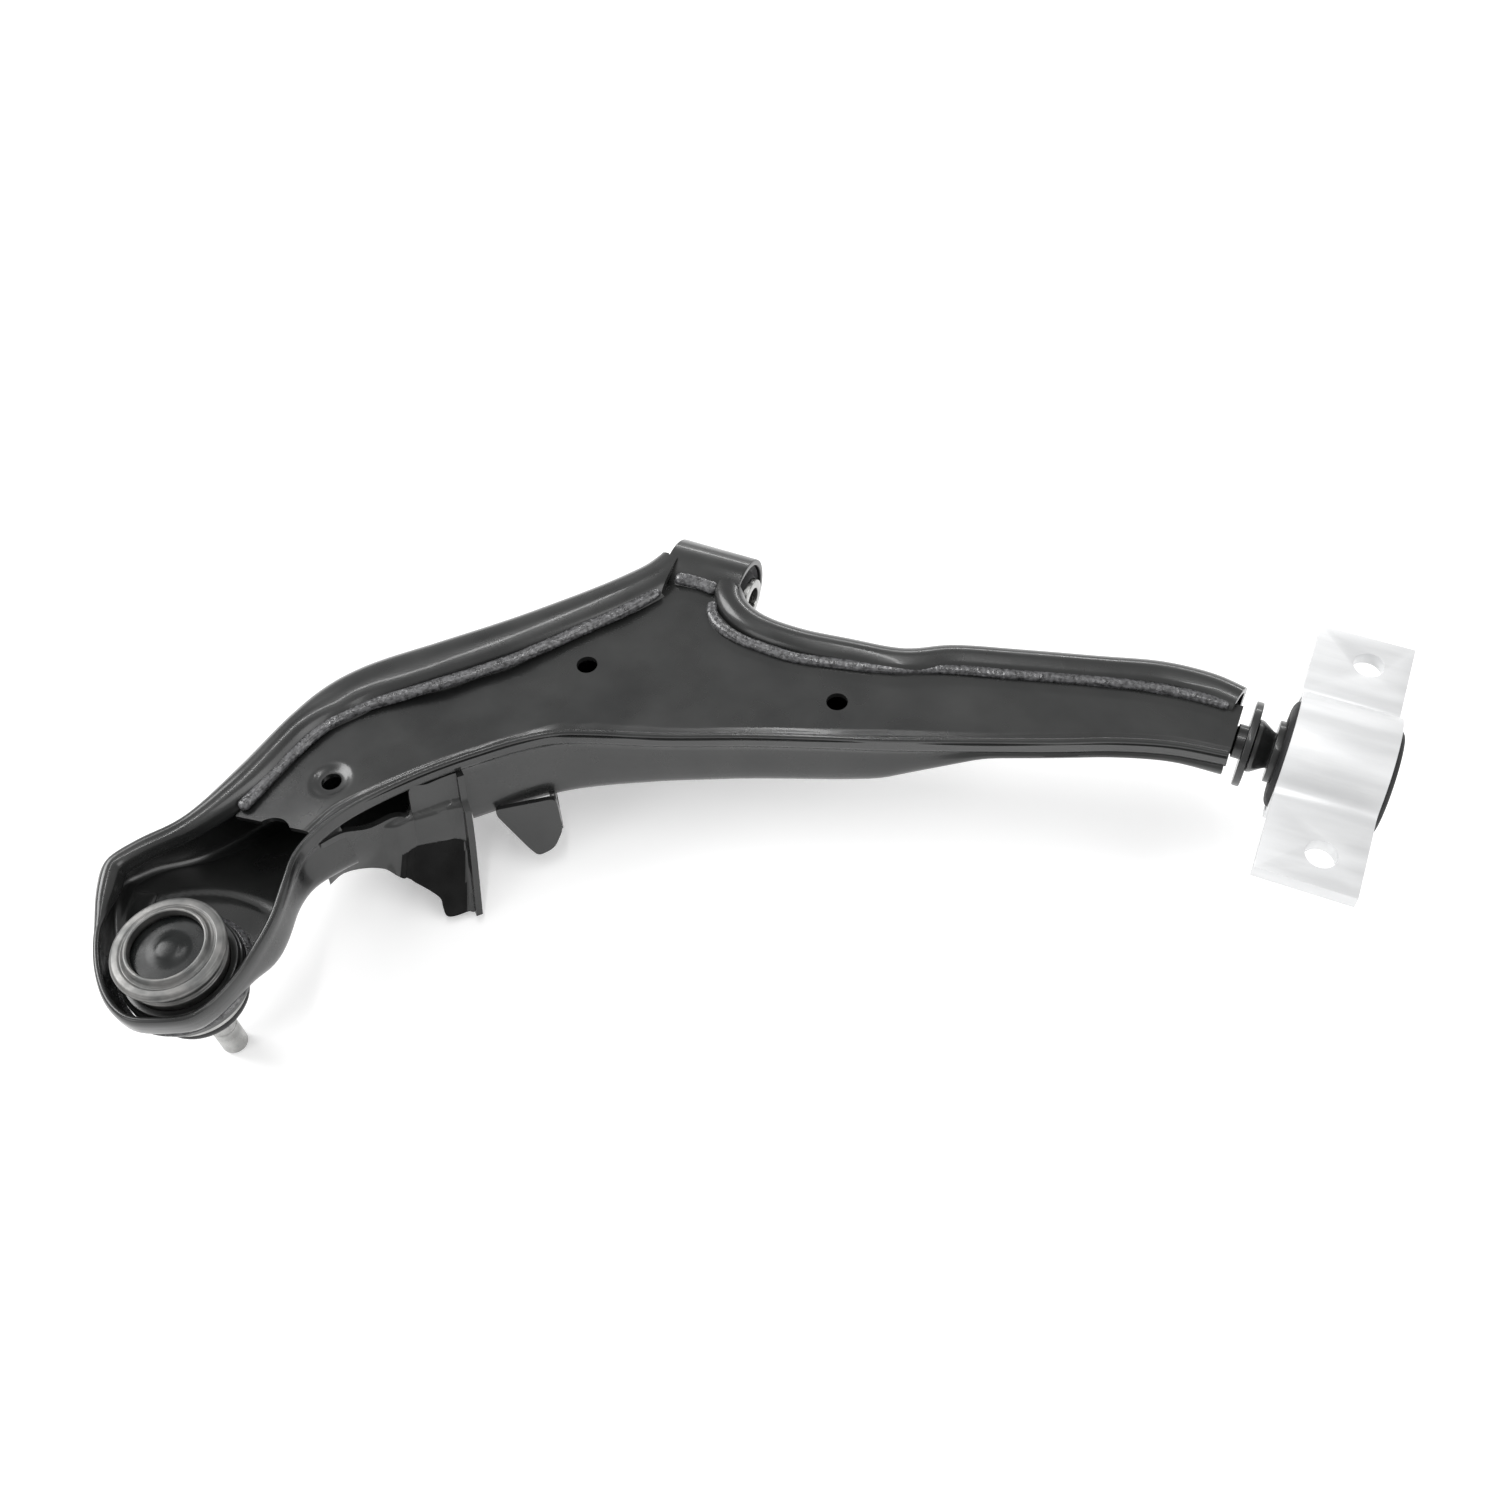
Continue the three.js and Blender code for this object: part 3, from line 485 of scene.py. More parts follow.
# ---------------------------------------------------------------- the pressing's walls
# Outer line of the walls: (x, y, bottom height, section), walked with the metal on the left.
LEFT_RAIL = [
    (-334.5, 1, -26, "ridge"),
    (-337, -7, -28, "ridge"),
    (-345, -19, -31, "ridge"),
    (-357.5, -34.5, -34, "ridge"),
    (-382.5, -62.5, -36, "ridge"),
    (-409.5, -89.5, -36, "ridge"),
    (-435.5, -115.5, -36, "ridge"),
    (-447, -133.5, -36, "ridge"),
    (-454, -155, -36, "narrow_ridge"),
    (-460, -190, -33, "narrow_ridge"),
    (-468.5, -222, -18, "bulge"),
    (-480, -238.5, -10, "bulge"),
    (-487, -254, -7, "bulge"),
    (-481.5, -268, -5, "bulge"),
    (-469, -285, -5, "rim"),
    (-456, -301, -4, "rim"),
    (-441.5, -312, -3, "rim"),
    (-428.5, -315.5, -2, "rim"),
    (-419.5, -313, -2, "rim"),
    (-411.5, -309.5, -2, "rim"),
    (-404, -305, -2, "rim"),
    (-399, -296.5, -2, "rim"),
    (-396.3, -285, -2, "rim"),
    (-395.5, -274, -3, "rim"),
    (-396, -262, -12, "rim"),
    (-397.5, -250, -12.5, "rim"),
    (-402.5, -233, -12, "rim"),
    (-407, -219, -18, "lip"),
    (-405, -205, -24, "lip"),
    (-399.5, -191.5, -28, "lip"),
    (-383, -168, -33, "lip"),
    (-371, -154, -34, "lip"),
    (-358, -141, -34, "lip"),
    (-346, -130, -34, "lip"),
    (-332, -120, -33, "lip"),
    (-317, -114, -29.5, "lip"),
    (-284, -103, -23, "lip"),
    (-248, -89, -21.5, "lip"),
    (-211, -76, -20.5, "lip"),
    (-190, -69, -18.5, "lip"),
    (-147, -53, -2.8, "lip"),
    (-118, -42, -1.6, "lip"),
    (-91, -31, -2, "lip"),
    (-67, -24, -2.6, "lip"),
    (-44, -21, -5.5, "lip"),
]
RIGHT_RAIL = [
    (-44, 19.8, -10.5, "slim_ridge"),
    (-57, 22.7, -10.5, "slim_ridge"),
    (-70, 23.2, -10.5, "slim_ridge"),
    (-87, 21.5, -10, "slim_ridge"),
    (-112, 14.9, -9, "slim_ridge"),
    (-147.5, 5.5, -8.5, "slim_ridge"),
    (-180.5, -4, -17, "slim_ridge"),
    (-199, -13.5, -20, "slim_ridge"),
    (-224.5, -17, -22, "slim_ridge"),
    (-250, -19.5, -24, "slim_ridge"),
    (-271, -17.5, -26, "slim_ridge"),
    (-282, -11, -26, "slim_ridge"),
    (-286.5, -3, -26, "slim_ridge"),
]
# Middle line of the sheet as (inward of the rail, height). The foot counts its heights from the
# rail's bottom, and the top counts them from 0.
TIGHT_FOOT = [(20, 1.4), (10, 1.4), (4.2, 3.6), (1.8, 8.6)]
SHORT_FOOT = [(13, 1.4), (9, 1.4), (4.2, 3.6), (1.8, 8.6)]
RIM_FOOT = [(14, 1.4), (9, 1.4), (4.6, 3.4), (2.3, 7)]
SECTIONS = {  # draft, foot, top
    "ridge": (0, TIGHT_FOOT, [(1.6, 8), (3.4, 15.8), (10.5, 19), (18, 17), (24, 9.6)]),
    "narrow_ridge": (0, TIGHT_FOOT, [(1.6, 8), (3, 15), (8, 18.4), (13.5, 16.5), (18, 9.6)]),
    "slim_ridge": (
        0,
        TIGHT_FOOT,
        [(1.6, 8), (2.8, 15.2), (7.8, 18.2), (13, 16.8), (16.2, 11.2)],
    ),
    "bulge": (0, TIGHT_FOOT, [(1.6, 7), (2.4, 13), (4.8, 16), (8, 15), (10, 10)]),
    "rim": (0, RIM_FOOT, [(1.6, 9), (1.5, 10.8), (1.5, 12.4), (1.7, 13.6), (2.1, 14.6)]),
    "lip": (
        0.09,
        SHORT_FOOT,
        [(2.6, 5), (1.5, 7.5), (1.4, 9.5), (1.4, 11.5), (1.4, 13.8)],
    ),
}
DRAFT_TOP = 9  # a wall with draft leans out below this height
RING_SPACING = 2.5


def section_line(bottom, form):
    """Middle line of the wall's sheet, from the foot's edge up."""
    draft, foot, top = SECTIONS[form]
    lean = draft * max(0, DRAFT_TOP - bottom)
    line = [
        (inward - (lean if i else 0), min(bottom + up, top[0][1] - 1))
        for i, (inward, up) in enumerate(foot)
    ]
    return np.array(line + top, float)


def sheet_section(line, thickness):
    """Closed outline of a bent sheet with rounded ends, round a middle line."""
    fine, _ = smooth_curve(line, steps=5)
    way = directions(fine)
    side = np.column_stack([-way[:, 1], way[:, 0]]) * thickness / 2
    ends = []
    turn = np.linspace(0, math.pi, 7)[1:-1]
    for k, sign in ((0, -1), (-1, 1)):
        across = np.outer(np.cos(turn), side[k])
        beyond = np.outer(np.sin(turn), way[k]) * thickness / 2
        ends.append(fine[k] + sign * (across + beyond))
    return np.vstack([fine + side, ends[1], (fine - side)[::-1], ends[0]])


def wall_frame(rows):
    """Samples of a rail: spots, places counted in rows, and unit directions inward."""
    rail, places = smooth_curve([row[:2] for row in rows], spacing=RING_SPACING)
    rail = soften(rail, 2)
    way = directions(rail)
    return rail, places, np.column_stack([-way[:, 1], way[:, 0]])


def wall(rows):
    """One wall of the pressing, swept along its rail."""
    rail, places, inward = wall_frame(rows)
    lines = np.array([section_line(row[2], row[3]) for row in rows])
    low = np.minimum(places.astype(int), len(rows) - 2)
    share = (places - low)[:, None, None]
    mixed = soften(lines[low] * (1 - share) + lines[low + 1] * share, 4)
    rings = []
    for line, spot, side in zip(mixed, rail, inward):
        outline = sheet_section(line, SHEET)
        rings.append(np.column_stack([spot + outline[:, :1] * side, outline[:, 1]]))
    return skin("wall", np.array(rings))


def rail_prism(rows, first, last, outline):
    """Constant outline of (inward, height) swept along a stretch of a rail."""
    rail, places, inward = wall_frame(rows)
    stretch = (places >= first) & (places <= last)
    outline = np.array(outline, float)
    rings = [
        np.column_stack([spot + outline[:, :1] * side, outline[:, 1]])
        for spot, side in zip(rail[stretch], inward[stretch])
    ]
    return skin("stretch", np.array(rings))


# ---------------------------------------------------------------- lower shell
# Floor as cross lines: near end and far end as (x, y, underside height), and how much lower
# the middle lies.
FLOOR_LINES = [
    ((-44, -12, -5.5), (-44, 9, -10.5), 3),
    ((-67, -15, -2.6), (-67, 12, -10.5), 4.4),
    ((-84, -20, -2), (-84, 10, -10.2), 4.8),
    ((-100, -25, -1.8), (-100, 7, -9.5), 3.5),
    ((-147, -44, -2.8), (-147, -4, -8.5), 1),
    ((-190, -59, -18.5), (-190, -18, -18), 0),
    ((-225, -72, -21), (-228, -28, -22), 0),
    ((-255, -83, -22), (-260, -29, -25), 0),
    ((-278, -92, -22.5), (-282, -22, -26), 1),
    ((-290, -96, -24), (-290, 2, -26), 1),
    ((-314, -104, -29), (-322, 2, -26), 1),
    ((-330, -111, -33), (-333, -16, -29), 0),
    ((-344, -120, -34), (-349, -38, -34), 0),
    ((-364, -137, -34), (-378, -72, -36), 0),
    ((-378, -152, -34), (-414, -108, -36), 0),
    ((-388, -165, -33), (-439, -135, -36), 0),
    ((-402, -187, -28.5), (-446, -178, -35), 0),
    ((-413, -204, -24), (-452, -203, -28), 0),
    ((-414, -221, -18), (-460, -224, -18), 0),
    ((-411, -236, -12), (-472, -240, -10), 0),
    ((-406, -250, -12), (-478, -255, -7), -2.5),
    ((-404.5, -262, -11), (-472, -267, -5), -3),
    ((-404, -275, -3.5), (-462, -280, -5), 0),
    ((-407, -297, -2), (-452, -294, -4), 0),
    ((-415, -305, -2), (-438, -305, -2.5), 0),
]
ACROSS = np.linspace(0, 1, 25)
GROOVE_R = 44.0  # pressed arc in the pan's floor, round the ball joint
GROOVE_DEPTH = 1.1
GROOVE_HALF_WIDTH = 2.0
GROOVE_END_Y = -262  # the arc runs only on the plate's side of this line


def floor():
    """The pressing's floor, with its groove."""
    ends = np.array([[*near, *far, sag] for near, far, sag in FLOOR_LINES])
    fine, _ = smooth_curve(ends[:, [0, 1, 3, 4, 2, 5, 6]], spacing=2.5)
    rings = []
    for near_x, near_y, far_x, far_y, near_z, far_z, sag in fine:
        x = near_x + (far_x - near_x) * ACROSS
        y = near_y + (far_y - near_y) * ACROSS
        z = near_z + (far_z - near_z) * ACROSS - sag * 4 * ACROSS * (1 - ACROSS)
        off = (np.hypot(x - BALL_X, y - BALL_Y) - GROOVE_R) / GROOVE_HALF_WIDTH
        z -= GROOVE_DEPTH * np.exp(-(off**2)) * (y > GROOVE_END_Y)
        under = np.column_stack([x, y, z])
        rings.append(np.vstack([under, (under + (0, 0, SHEET))[::-1]]))
    return skin("floor", np.array(rings))


CRADLE_DEGREES = (157, 280)


def cradle():
    """Seat under the front bush's sleeve, from its near side round to below it."""
    turn = np.radians(np.linspace(*CRADLE_DEGREES, 40))
    spokes = np.column_stack([np.cos(turn), np.sin(turn)])
    inner = FRONT_R + GAP
    outline = np.vstack([spokes * (inner + SHEET), spokes[::-1] * inner])
    return prism("cradle", outline, FRONT_LEFT_X + 1, FRONT_RIGHT_X - 1, "X")


WINDOW_ROWS = (28.6, 31.3)  # stretch of the left rail where the tab bracket is the wall
WINDOW_SECTION = [(8.5, -60), (8.5, 7), (-12, 7), (-12, -60)]  # inward of the rail, height
SADDLE_CORNERS = [(-322, -24), (-297, -24), (-297, 0), (-322, 0)]


def shell():
    """The pressing, open on top."""
    body = join(wall(LEFT_RAIL), wall(RIGHT_RAIL), floor(), cradle())
    saddle_room = prism("saddle", SADDLE_CORNERS, 10, 30)
    collar_room = prism("collar", circle(BALL_X, BALL_Y, COLLAR_R + GAP), -20, 12)
    tab_room = rail_prism(LEFT_RAIL, *WINDOW_ROWS, WINDOW_SECTION)
    sleeve_room = rod(FRONT_R + GAP, FRONT_LEFT_X - GAP, FRONT_RIGHT_X + GAP)
    bolt_room = rod(FRONT_R - 2, FRONT_LEFT_X - 25, FRONT_RIGHT_X + 20)
    return cut(body, sleeve_room, bolt_room, saddle_room, collar_room, tab_room)


def without_crumbs(piece):
    """Keeps only the biggest connected part."""
    edit = bmesh.new()
    edit.from_mesh(piece.data)
    left, parts = set(edit.verts), []
    while left:
        stack, part = [left.pop()], set()
        while stack:
            vertex = stack.pop()
            part.add(vertex)
            for edge in vertex.link_edges:
                other = edge.other_vert(vertex)
                if other in left:
                    left.discard(other)
                    stack.append(other)
        parts.append(part)
    keep = max(parts, key=len)
    bmesh.ops.delete(
        edit, geom=[v for v in edit.verts if v not in keep], context="VERTS"
    )
    edit.to_mesh(piece.data)
    edit.free()
    return piece


# ---------------------------------------------------------------- top plate
# Cross lines from the near edge to the far edge: (x, y, drop below the plate's level).
PLATE_LINES = [
    ((-44.5, -22, 0), (-44.5, 9, 0)),
    ((-68, -25, 0), (-72, 10, 0)),
    ((-92, -32, 0), (-98, 5, 0)),
    ((-147, -54, 0), (-150, -9, 0)),
    ((-185, -67, 0), (-190, -23, 0)),
    ((-212, -77, 0), (-218, -32, 0)),
    ((-248, -90, 0), (-250, -36, 0)),
    ((-284, -104, 0), (-276, -34, 0)),
    ((-300, -109, 0), (-291, -20, 0)),
    ((-311, -113, 0), (-297, -8, 0)),
    ((-317, -115, 0), (-316, -8, 0)),
    ((-325, -118, 0), (-326, -24, 0)),
    ((-333, -121, 0), (-338, -38, 0)),
    ((-346, -131, 0), (-354, -62, 0)),
    ((-358, -142, 0), (-370, -80, 1)),
    ((-371, -155, 0), (-392, -102, 3)),
    ((-383, -169, 0), (-414, -121, 3)),
    ((-394, -183, 0), (-434, -150, 3)),
    ((-401, -193, 0), (-442, -176, 3)),
    ((-406, -206, 1), (-447, -211, 3)),
]
PLATE_HOLES = [(-337, -76, 5), (-217.5, -55, 5), (-416, -179, 4.7)]  # x, y, radius
DIMPLE = (-416, -179, 5.5, 10.5, 1.3)  # x, y, flat radius, outer radius, depth
NOTCH = (-426, -214, 9)  # x, y, radius
# The plate's middle is pressed a little lower. Each range runs from no drop to the full drop.
CREASE_Y = (-106, -86)
CREASE_RIGHT_X = (-306, -335)
CREASE_LEFT_X = (-392, -372)
CREASE_DROP = 1.5
JOGGLE_DROP = 1.1  # step down along the near edge, where the plate laps the lip
JOGGLE_REACH = (4.6, 6.6)


def plate():
    """The closing sheet, without its holes."""
    ends = np.array([[*near, *far] for near, far in PLATE_LINES], float)
    fine, _ = smooth_curve(ends[:, [0, 1, 3, 4, 2, 5]], spacing=2.0)
    across = np.linspace(0, 1, 61)
    dimple_x, dimple_y, flat, outer, depth = DIMPLE
    rings = []
    for near_x, near_y, far_x, far_y, near_drop, far_drop in fine:
        x = near_x + (far_x - near_x) * across
        y = near_y + (far_y - near_y) * across
        width = math.hypot(far_x - near_x, far_y - near_y)
        drop = near_drop + (far_drop - near_drop) * across
        drop = drop + JOGGLE_DROP * (1 - smoothstep(across * width, *JOGGLE_REACH))
        pressed = CREASE_DROP * smoothstep(y, *CREASE_Y)
        pressed = pressed * smoothstep(x, *CREASE_RIGHT_X) * smoothstep(x, *CREASE_LEFT_X)
        away = np.hypot(x - dimple_x, y - dimple_y)
        drop = drop + pressed + depth * (1 - smoothstep(away, flat, outer))
        top = np.column_stack([x, y, PLATE_TOP - drop])
        rings.append(np.vstack([top - (0, 0, SHEET), top[::-1]]))
    return skin("plate", np.array(rings))


# ---------------------------------------------------------------- welds
LEFT_WELD = [
    (-323, -23), (-333, -40), (-345, -56), (-357, -72), (-369.5, -87.5), (-383, -101.5),
    (-395.5, -113.5), (-408.5, -124.5), (-422, -135.5), (-433, -150), (-440, -172),
    (-444, -197), (-445.5, -208),
]
RIGHT_WELD = [
    (-296, -20), (-293, -27), (-286, -33), (-276, -36.5), (-262, -38), (-245, -38), (-222, -33.5),
    (-200, -28), (-180, -20), (-147, -11), (-112, -1.5), (-87, 4), (-66, 6.5), (-50, 6.5),
]
SADDLE_WELD = [(-320, -12.5), (-308.5, -11.5), (-296.5, -12.5)]
BEAD_SIDES = 32
BEAD_FLATNESS = 0.8  # height against width
# Noise over a bead: length along it, pace round it, and share of its radius.
STREAKS = (16, 3.4, 0.11)
RIPPLES = (0.9, 2.2, 0.05)
# Ridges across it: spacing along the bead, how far they bow, and share of its radius.
RIDGES = (2.4, 1.5, 0.018)


def bead_size(along, angle, seed):
    """Bead's radius at a spot, as a share of its nominal one."""
    length, pace, share = STREAKS
    size = 1 + share * noise.noise((along / length, pace * angle, seed))
    length, pace, share = RIPPLES
    ripple_seed = seed + 9
    size += share * noise.noise((along / length, pace * angle, ripple_seed))
    length, bow, share = RIDGES
    turn = 2 * math.pi * along / length + bow * math.cos(angle)
    return size * (1 + share * math.sin(turn))


def bead(name, points, radius, height_at, seed):
    """Weld bead with lengthwise streaks, fine ripples and rounded ends."""
    line, _ = smooth_curve(points, spacing=0.7)
    way = directions(line)
    reach = np.concatenate([[0], np.cumsum(np.hypot(*np.diff(line, axis=0).T))])
    to_end = np.minimum(reach, reach[-1] - reach)
    swell = np.sqrt(np.clip(1 - (1 - np.clip(to_end / radius, 0, 1)) ** 2, 0.004, 1))
    turn = np.linspace(0, 2 * math.pi, BEAD_SIDES, endpoint=False)
    rings = []
    for spot, tangent, along, grow in zip(line, way, reach, swell):
        side = np.array([-tangent[1], tangent[0]])
        ring = []
        for angle in turn:
            size = radius * grow * bead_size(along, angle, seed)
            x, y = spot + side * math.cos(angle) * size
            z = height_at(*spot) + math.sin(angle) * size * BEAD_FLATNESS
            ring.append((x, y, z))
        rings.append(ring)
    return skin(name, np.array(rings))


def left_bead_height(x, _):
    """The bead follows the plate down towards its left end."""
    return PLATE_TOP + 1.7 - 2.4 * smoothstep(x, -392, -425)


def right_bead_height(*_):
    return PLATE_TOP + 0.8


def saddle_bead_height(*_):
    return PLATE_TOP + 1.4


BEADS = [
    # piece, node, points, radius, height
    ("left_bead", "plate_weld_left", LEFT_WELD, 3.0, left_bead_height),
    ("right_bead", "plate_weld_right", RIGHT_WELD, 2.8, right_bead_height),
    ("saddle_bead", "sleeve_saddle_weld", SADDLE_WELD, 3.6, saddle_bead_height),
]


# ---------------------------------------------------------------- rear bracket
def arc(centre, radius, start, end, count=24):
    """Points on an arc between two angles, in radians."""
    turn = np.linspace(start, end, count)
    return [
        (centre[0] + radius * math.cos(t), centre[1] + radius * math.sin(t))
        for t in turn
    ]


def bracket_outline():
    """Two ears blended into the ring above and below, in Y and Z."""
    under = EAR_TOP - EAR_THICKNESS

    def fillet(level, radius):
        """Centre of the fillet on a level, under it where radius is below 0, and its angle."""
        centre_z = level + radius
        centre_y = math.sqrt((REAR_RING_R + abs(radius)) ** 2 - centre_z**2)
        return centre_y, centre_z, math.atan2(centre_z, centre_y)

    upper_y, upper_z, upper = fillet(EAR_TOP, UPPER_FILLET)
    lower_y, lower_z, lower = fillet(under, -LOWER_FILLET)
    right = [(EAR_HALF_SPAN, under), (EAR_HALF_SPAN, EAR_TOP)]
    right += arc((upper_y, upper_z), UPPER_FILLET, -math.pi / 2, upper - math.pi)
    right += arc((0, 0), REAR_RING_R, upper, math.pi / 2, 40)
    bottom = arc((0, 0), REAR_RING_R, -math.pi / 2, lower, 60)
    bottom += arc((lower_y, lower_z), LOWER_FILLET, math.pi + lower, math.pi / 2)
    mirrored = [(-y, z) for y, z in right[:-1]][::-1]
    return right + mirrored + [(-y, z) for y, z in bottom[1:]][::-1] + bottom


def rear_bracket():
    body = prism("bracket", bracket_outline(), -REAR_HALF_WIDTH, REAR_HALF_WIDTH, "X")
    x, y, radius = EAR_HOLE
    cut(
        body,
        rod(REAR_BORE_R, -40, 40, count=144),
        prism("hole", circle(x, y, radius), 0, 20),
        prism("hole", circle(x, -y, radius), 0, 20),
    )
    return bevelled(body, 0.7, angle=50)


# ---------------------------------------------------------------- stabiliser brackets
# Skirt in place of the near wall, leaning out to a hanging tab: columns of the outer face's top,
# middle and bottom.
SKIRT_COLUMNS = [
    ((-406, -207, 5), (-408, -209, -14), (-409, -210, -27)),
    ((-402, -197, 2), (-404, -199, -14), (-408, -201, -30)),
    ((-396, -187, -5), (-397, -189, -18), (-402, -193, -34)),
    ((-390, -178, -6), (-391, -182, -18), (-393, -189.5, -35)),
    ((-384, -170, -6), (-384, -174, -20), (-383, -187, -40)),
    ((-383, -168, 6), (-383, -173, -20), (-382, -187, -41)),
    ((-377, -161, 6), (-375, -168, -24), (-371.5, -185, -53)),
    ((-372, -155, 6), (-369, -163, -24), (-366.5, -189, -61)),
    ((-366, -149, 6), (-362, -159, -20), (-355, -179, -61)),
]
SKIRT_INWARD = np.array((-2.0, 2.0, 0))  # from the outer face to the inner one
FLANGE_OUT = np.array((2.2, -1.6, 0))
FLANGE_SIDE = np.array((-2.2, -2.2, 0))
OUTWARD = np.array((0.79, -0.61, 0))  # away from the arm, square to the near wall there
LEDGE = (-7.5, -10.0, 3.0)  # fold's upper and lower height, and how far it steps out
LEDGE_X = (-394, -388)  # the fold fades in from the left between these
POCKET = (-24.8, -386.5, -363.5, 1.6)  # recess's top height, left and right side, and depth
POCKET_RIGHT_LEAN = 0.17  # its right side follows the leaning flange
POCKET_TOP_FALL = 0.11  # its top falls to the right
POCKET_CORNER = 2.6
POCKET_EDGE = 1.6


def pocket_share(points):
    """1 in the tab's recess, 0 outside it, and between them along its rounded edge."""
    x, z = points[:, 0], points[:, 2]
    height, left, right, _ = POCKET
    right = right + POCKET_RIGHT_LEAN * np.maximum(height - z, 0)
    across = np.minimum(x - left, right - x)
    down = height - POCKET_TOP_FALL * (x - left) - z
    short = np.hypot(
        np.maximum(POCKET_CORNER - across, 0), np.maximum(POCKET_CORNER - down, 0)
    )
    inside = (across > 0) * (down > 0)
    return smoothstep(POCKET_CORNER - short, 0, POCKET_EDGE) * inside


def skirt_relief(points):
    """How far each point of the skirt stands out: a folded ledge, and a sunk pocket below it."""
    x, z = points[:, 0], points[:, 2]
    top, bottom, step = LEDGE
    ledge = step * smoothstep(x, *LEDGE_X) * smoothstep(z, top, bottom)
    return ledge - POCKET[3] * pocket_share(points)


def skirt_face(column, steps):
    """Outer face's points from top to bottom, along one column."""
    face = smooth_curve(column.reshape(3, 3), steps=steps)[0]
    return face + skirt_relief(face)[:, None] * OUTWARD


def stabiliser_tab():
    """Skirt with its hanging tab, and the flange folded along its right edge."""
    columns = np.array(SKIRT_COLUMNS, float).reshape(len(SKIRT_COLUMNS), -1)
    rings = []
    for column in smooth_curve(columns, steps=14)[0]:
        face = skirt_face(column, 40)
        rings.append(np.vstack([face, (face + SKIRT_INWARD)[::-1]]))
    skirt = skin("tab", np.array(rings))
    edge = skirt_face(columns[-1], 16)
    inner, outer = edge + SKIRT_INWARD, edge + FLANGE_OUT
    corners = [inner, outer, outer + FLANGE_SIDE, inner + FLANGE_SIDE]
    return join(skirt, skin("flange", np.stack(corners, axis=1)))


def paint_pocket_shade(piece):
    """Gives the recess its darker coat, which is painted shade for the shade that falls in it."""
    piece.data.materials.append(PAINTED_SHADE_COAT)
    for face in piece.data.polygons:
        centre = np.array([face.center], float) * 1000 + (PIN_END_X, 0, 0)
        if pocket_share(centre)[0] > 0.5:
            face.material_index = 1


# Small ear that hangs beside the tab, with a pierced flange. Outlines are (along, down), from
# its upper corner.
HANGER_ORIGIN = (-333.5, -127.5, -20)
HANGER_FACE = [(0, 4), (0, 24), (6, 35), (14.5, 38), (18, 32), (29, 8), (29, 4)]
HANGER_FLANGE = [(0, 4), (13, 4), (15, 8), (15, 20), (7, 29), (0, 27)]
HANGER_HOLE = (10, 15, 4)  # along, down, radius
HANGER_ALONG = Vector((-0.82, -0.57, 0)).normalized()
HANGER_DOWN = Vector((0.14, -0.2, -0.97)).normalized()


def leaning_plate(outline, across, down, normal, thickness=SHEET):
    """Plate from an outline in the axes across and down, standing at the hanger's corner."""
    axes = [np.array(axis) for axis in (across, down, normal)]
    rings = [
        [HANGER_ORIGIN + axes[0] * u + axes[1] * v + axes[2] * depth for u, v in outline]
        for depth in (0, thickness)
    ]
    return skin("leaning", np.array(rings))


def stabiliser_ear():
    """Triangular plate along the wall, and the flange that turns back under the arm."""
    normal = HANGER_ALONG.cross(HANGER_DOWN).normalized()
    outline = rounded(HANGER_FACE, 4, steps=7)
    face = leaning_plate(outline, HANGER_ALONG, HANGER_DOWN, normal)
    back = normal if normal.y > 0 else -normal
    flange_normal = back.cross(HANGER_DOWN).normalized()
    outline = rounded(HANGER_FLANGE, 3)
    flange = leaning_plate(outline, back, HANGER_DOWN, flange_normal)
    hole = leaning_plate(circle(*HANGER_HOLE), back, HANGER_DOWN, flange_normal, 8)
    hole.data.transform(Matrix.Translation(-flange_normal * 0.003))  # starts 3 mm before
    return bevelled(cut(join(face, flange), hole), 0.6)


# ---------------------------------------------------------------- turned pieces
def ball_profile(degrees):
    """Point on the ball, by its angle from the top."""
    turn = math.radians(degrees)
    return BALL_R * math.sin(turn), BALL_CENTRE_Z + BALL_R * math.cos(turn)


FRONT_BORE_R = FRONT_R - FRONT_WALL
FRONT_RUBBER_R = FRONT_BORE_R - GAP
FRONT_TUBE_INNER_R = 6.2
FRONT_TUBE_R = 10.35

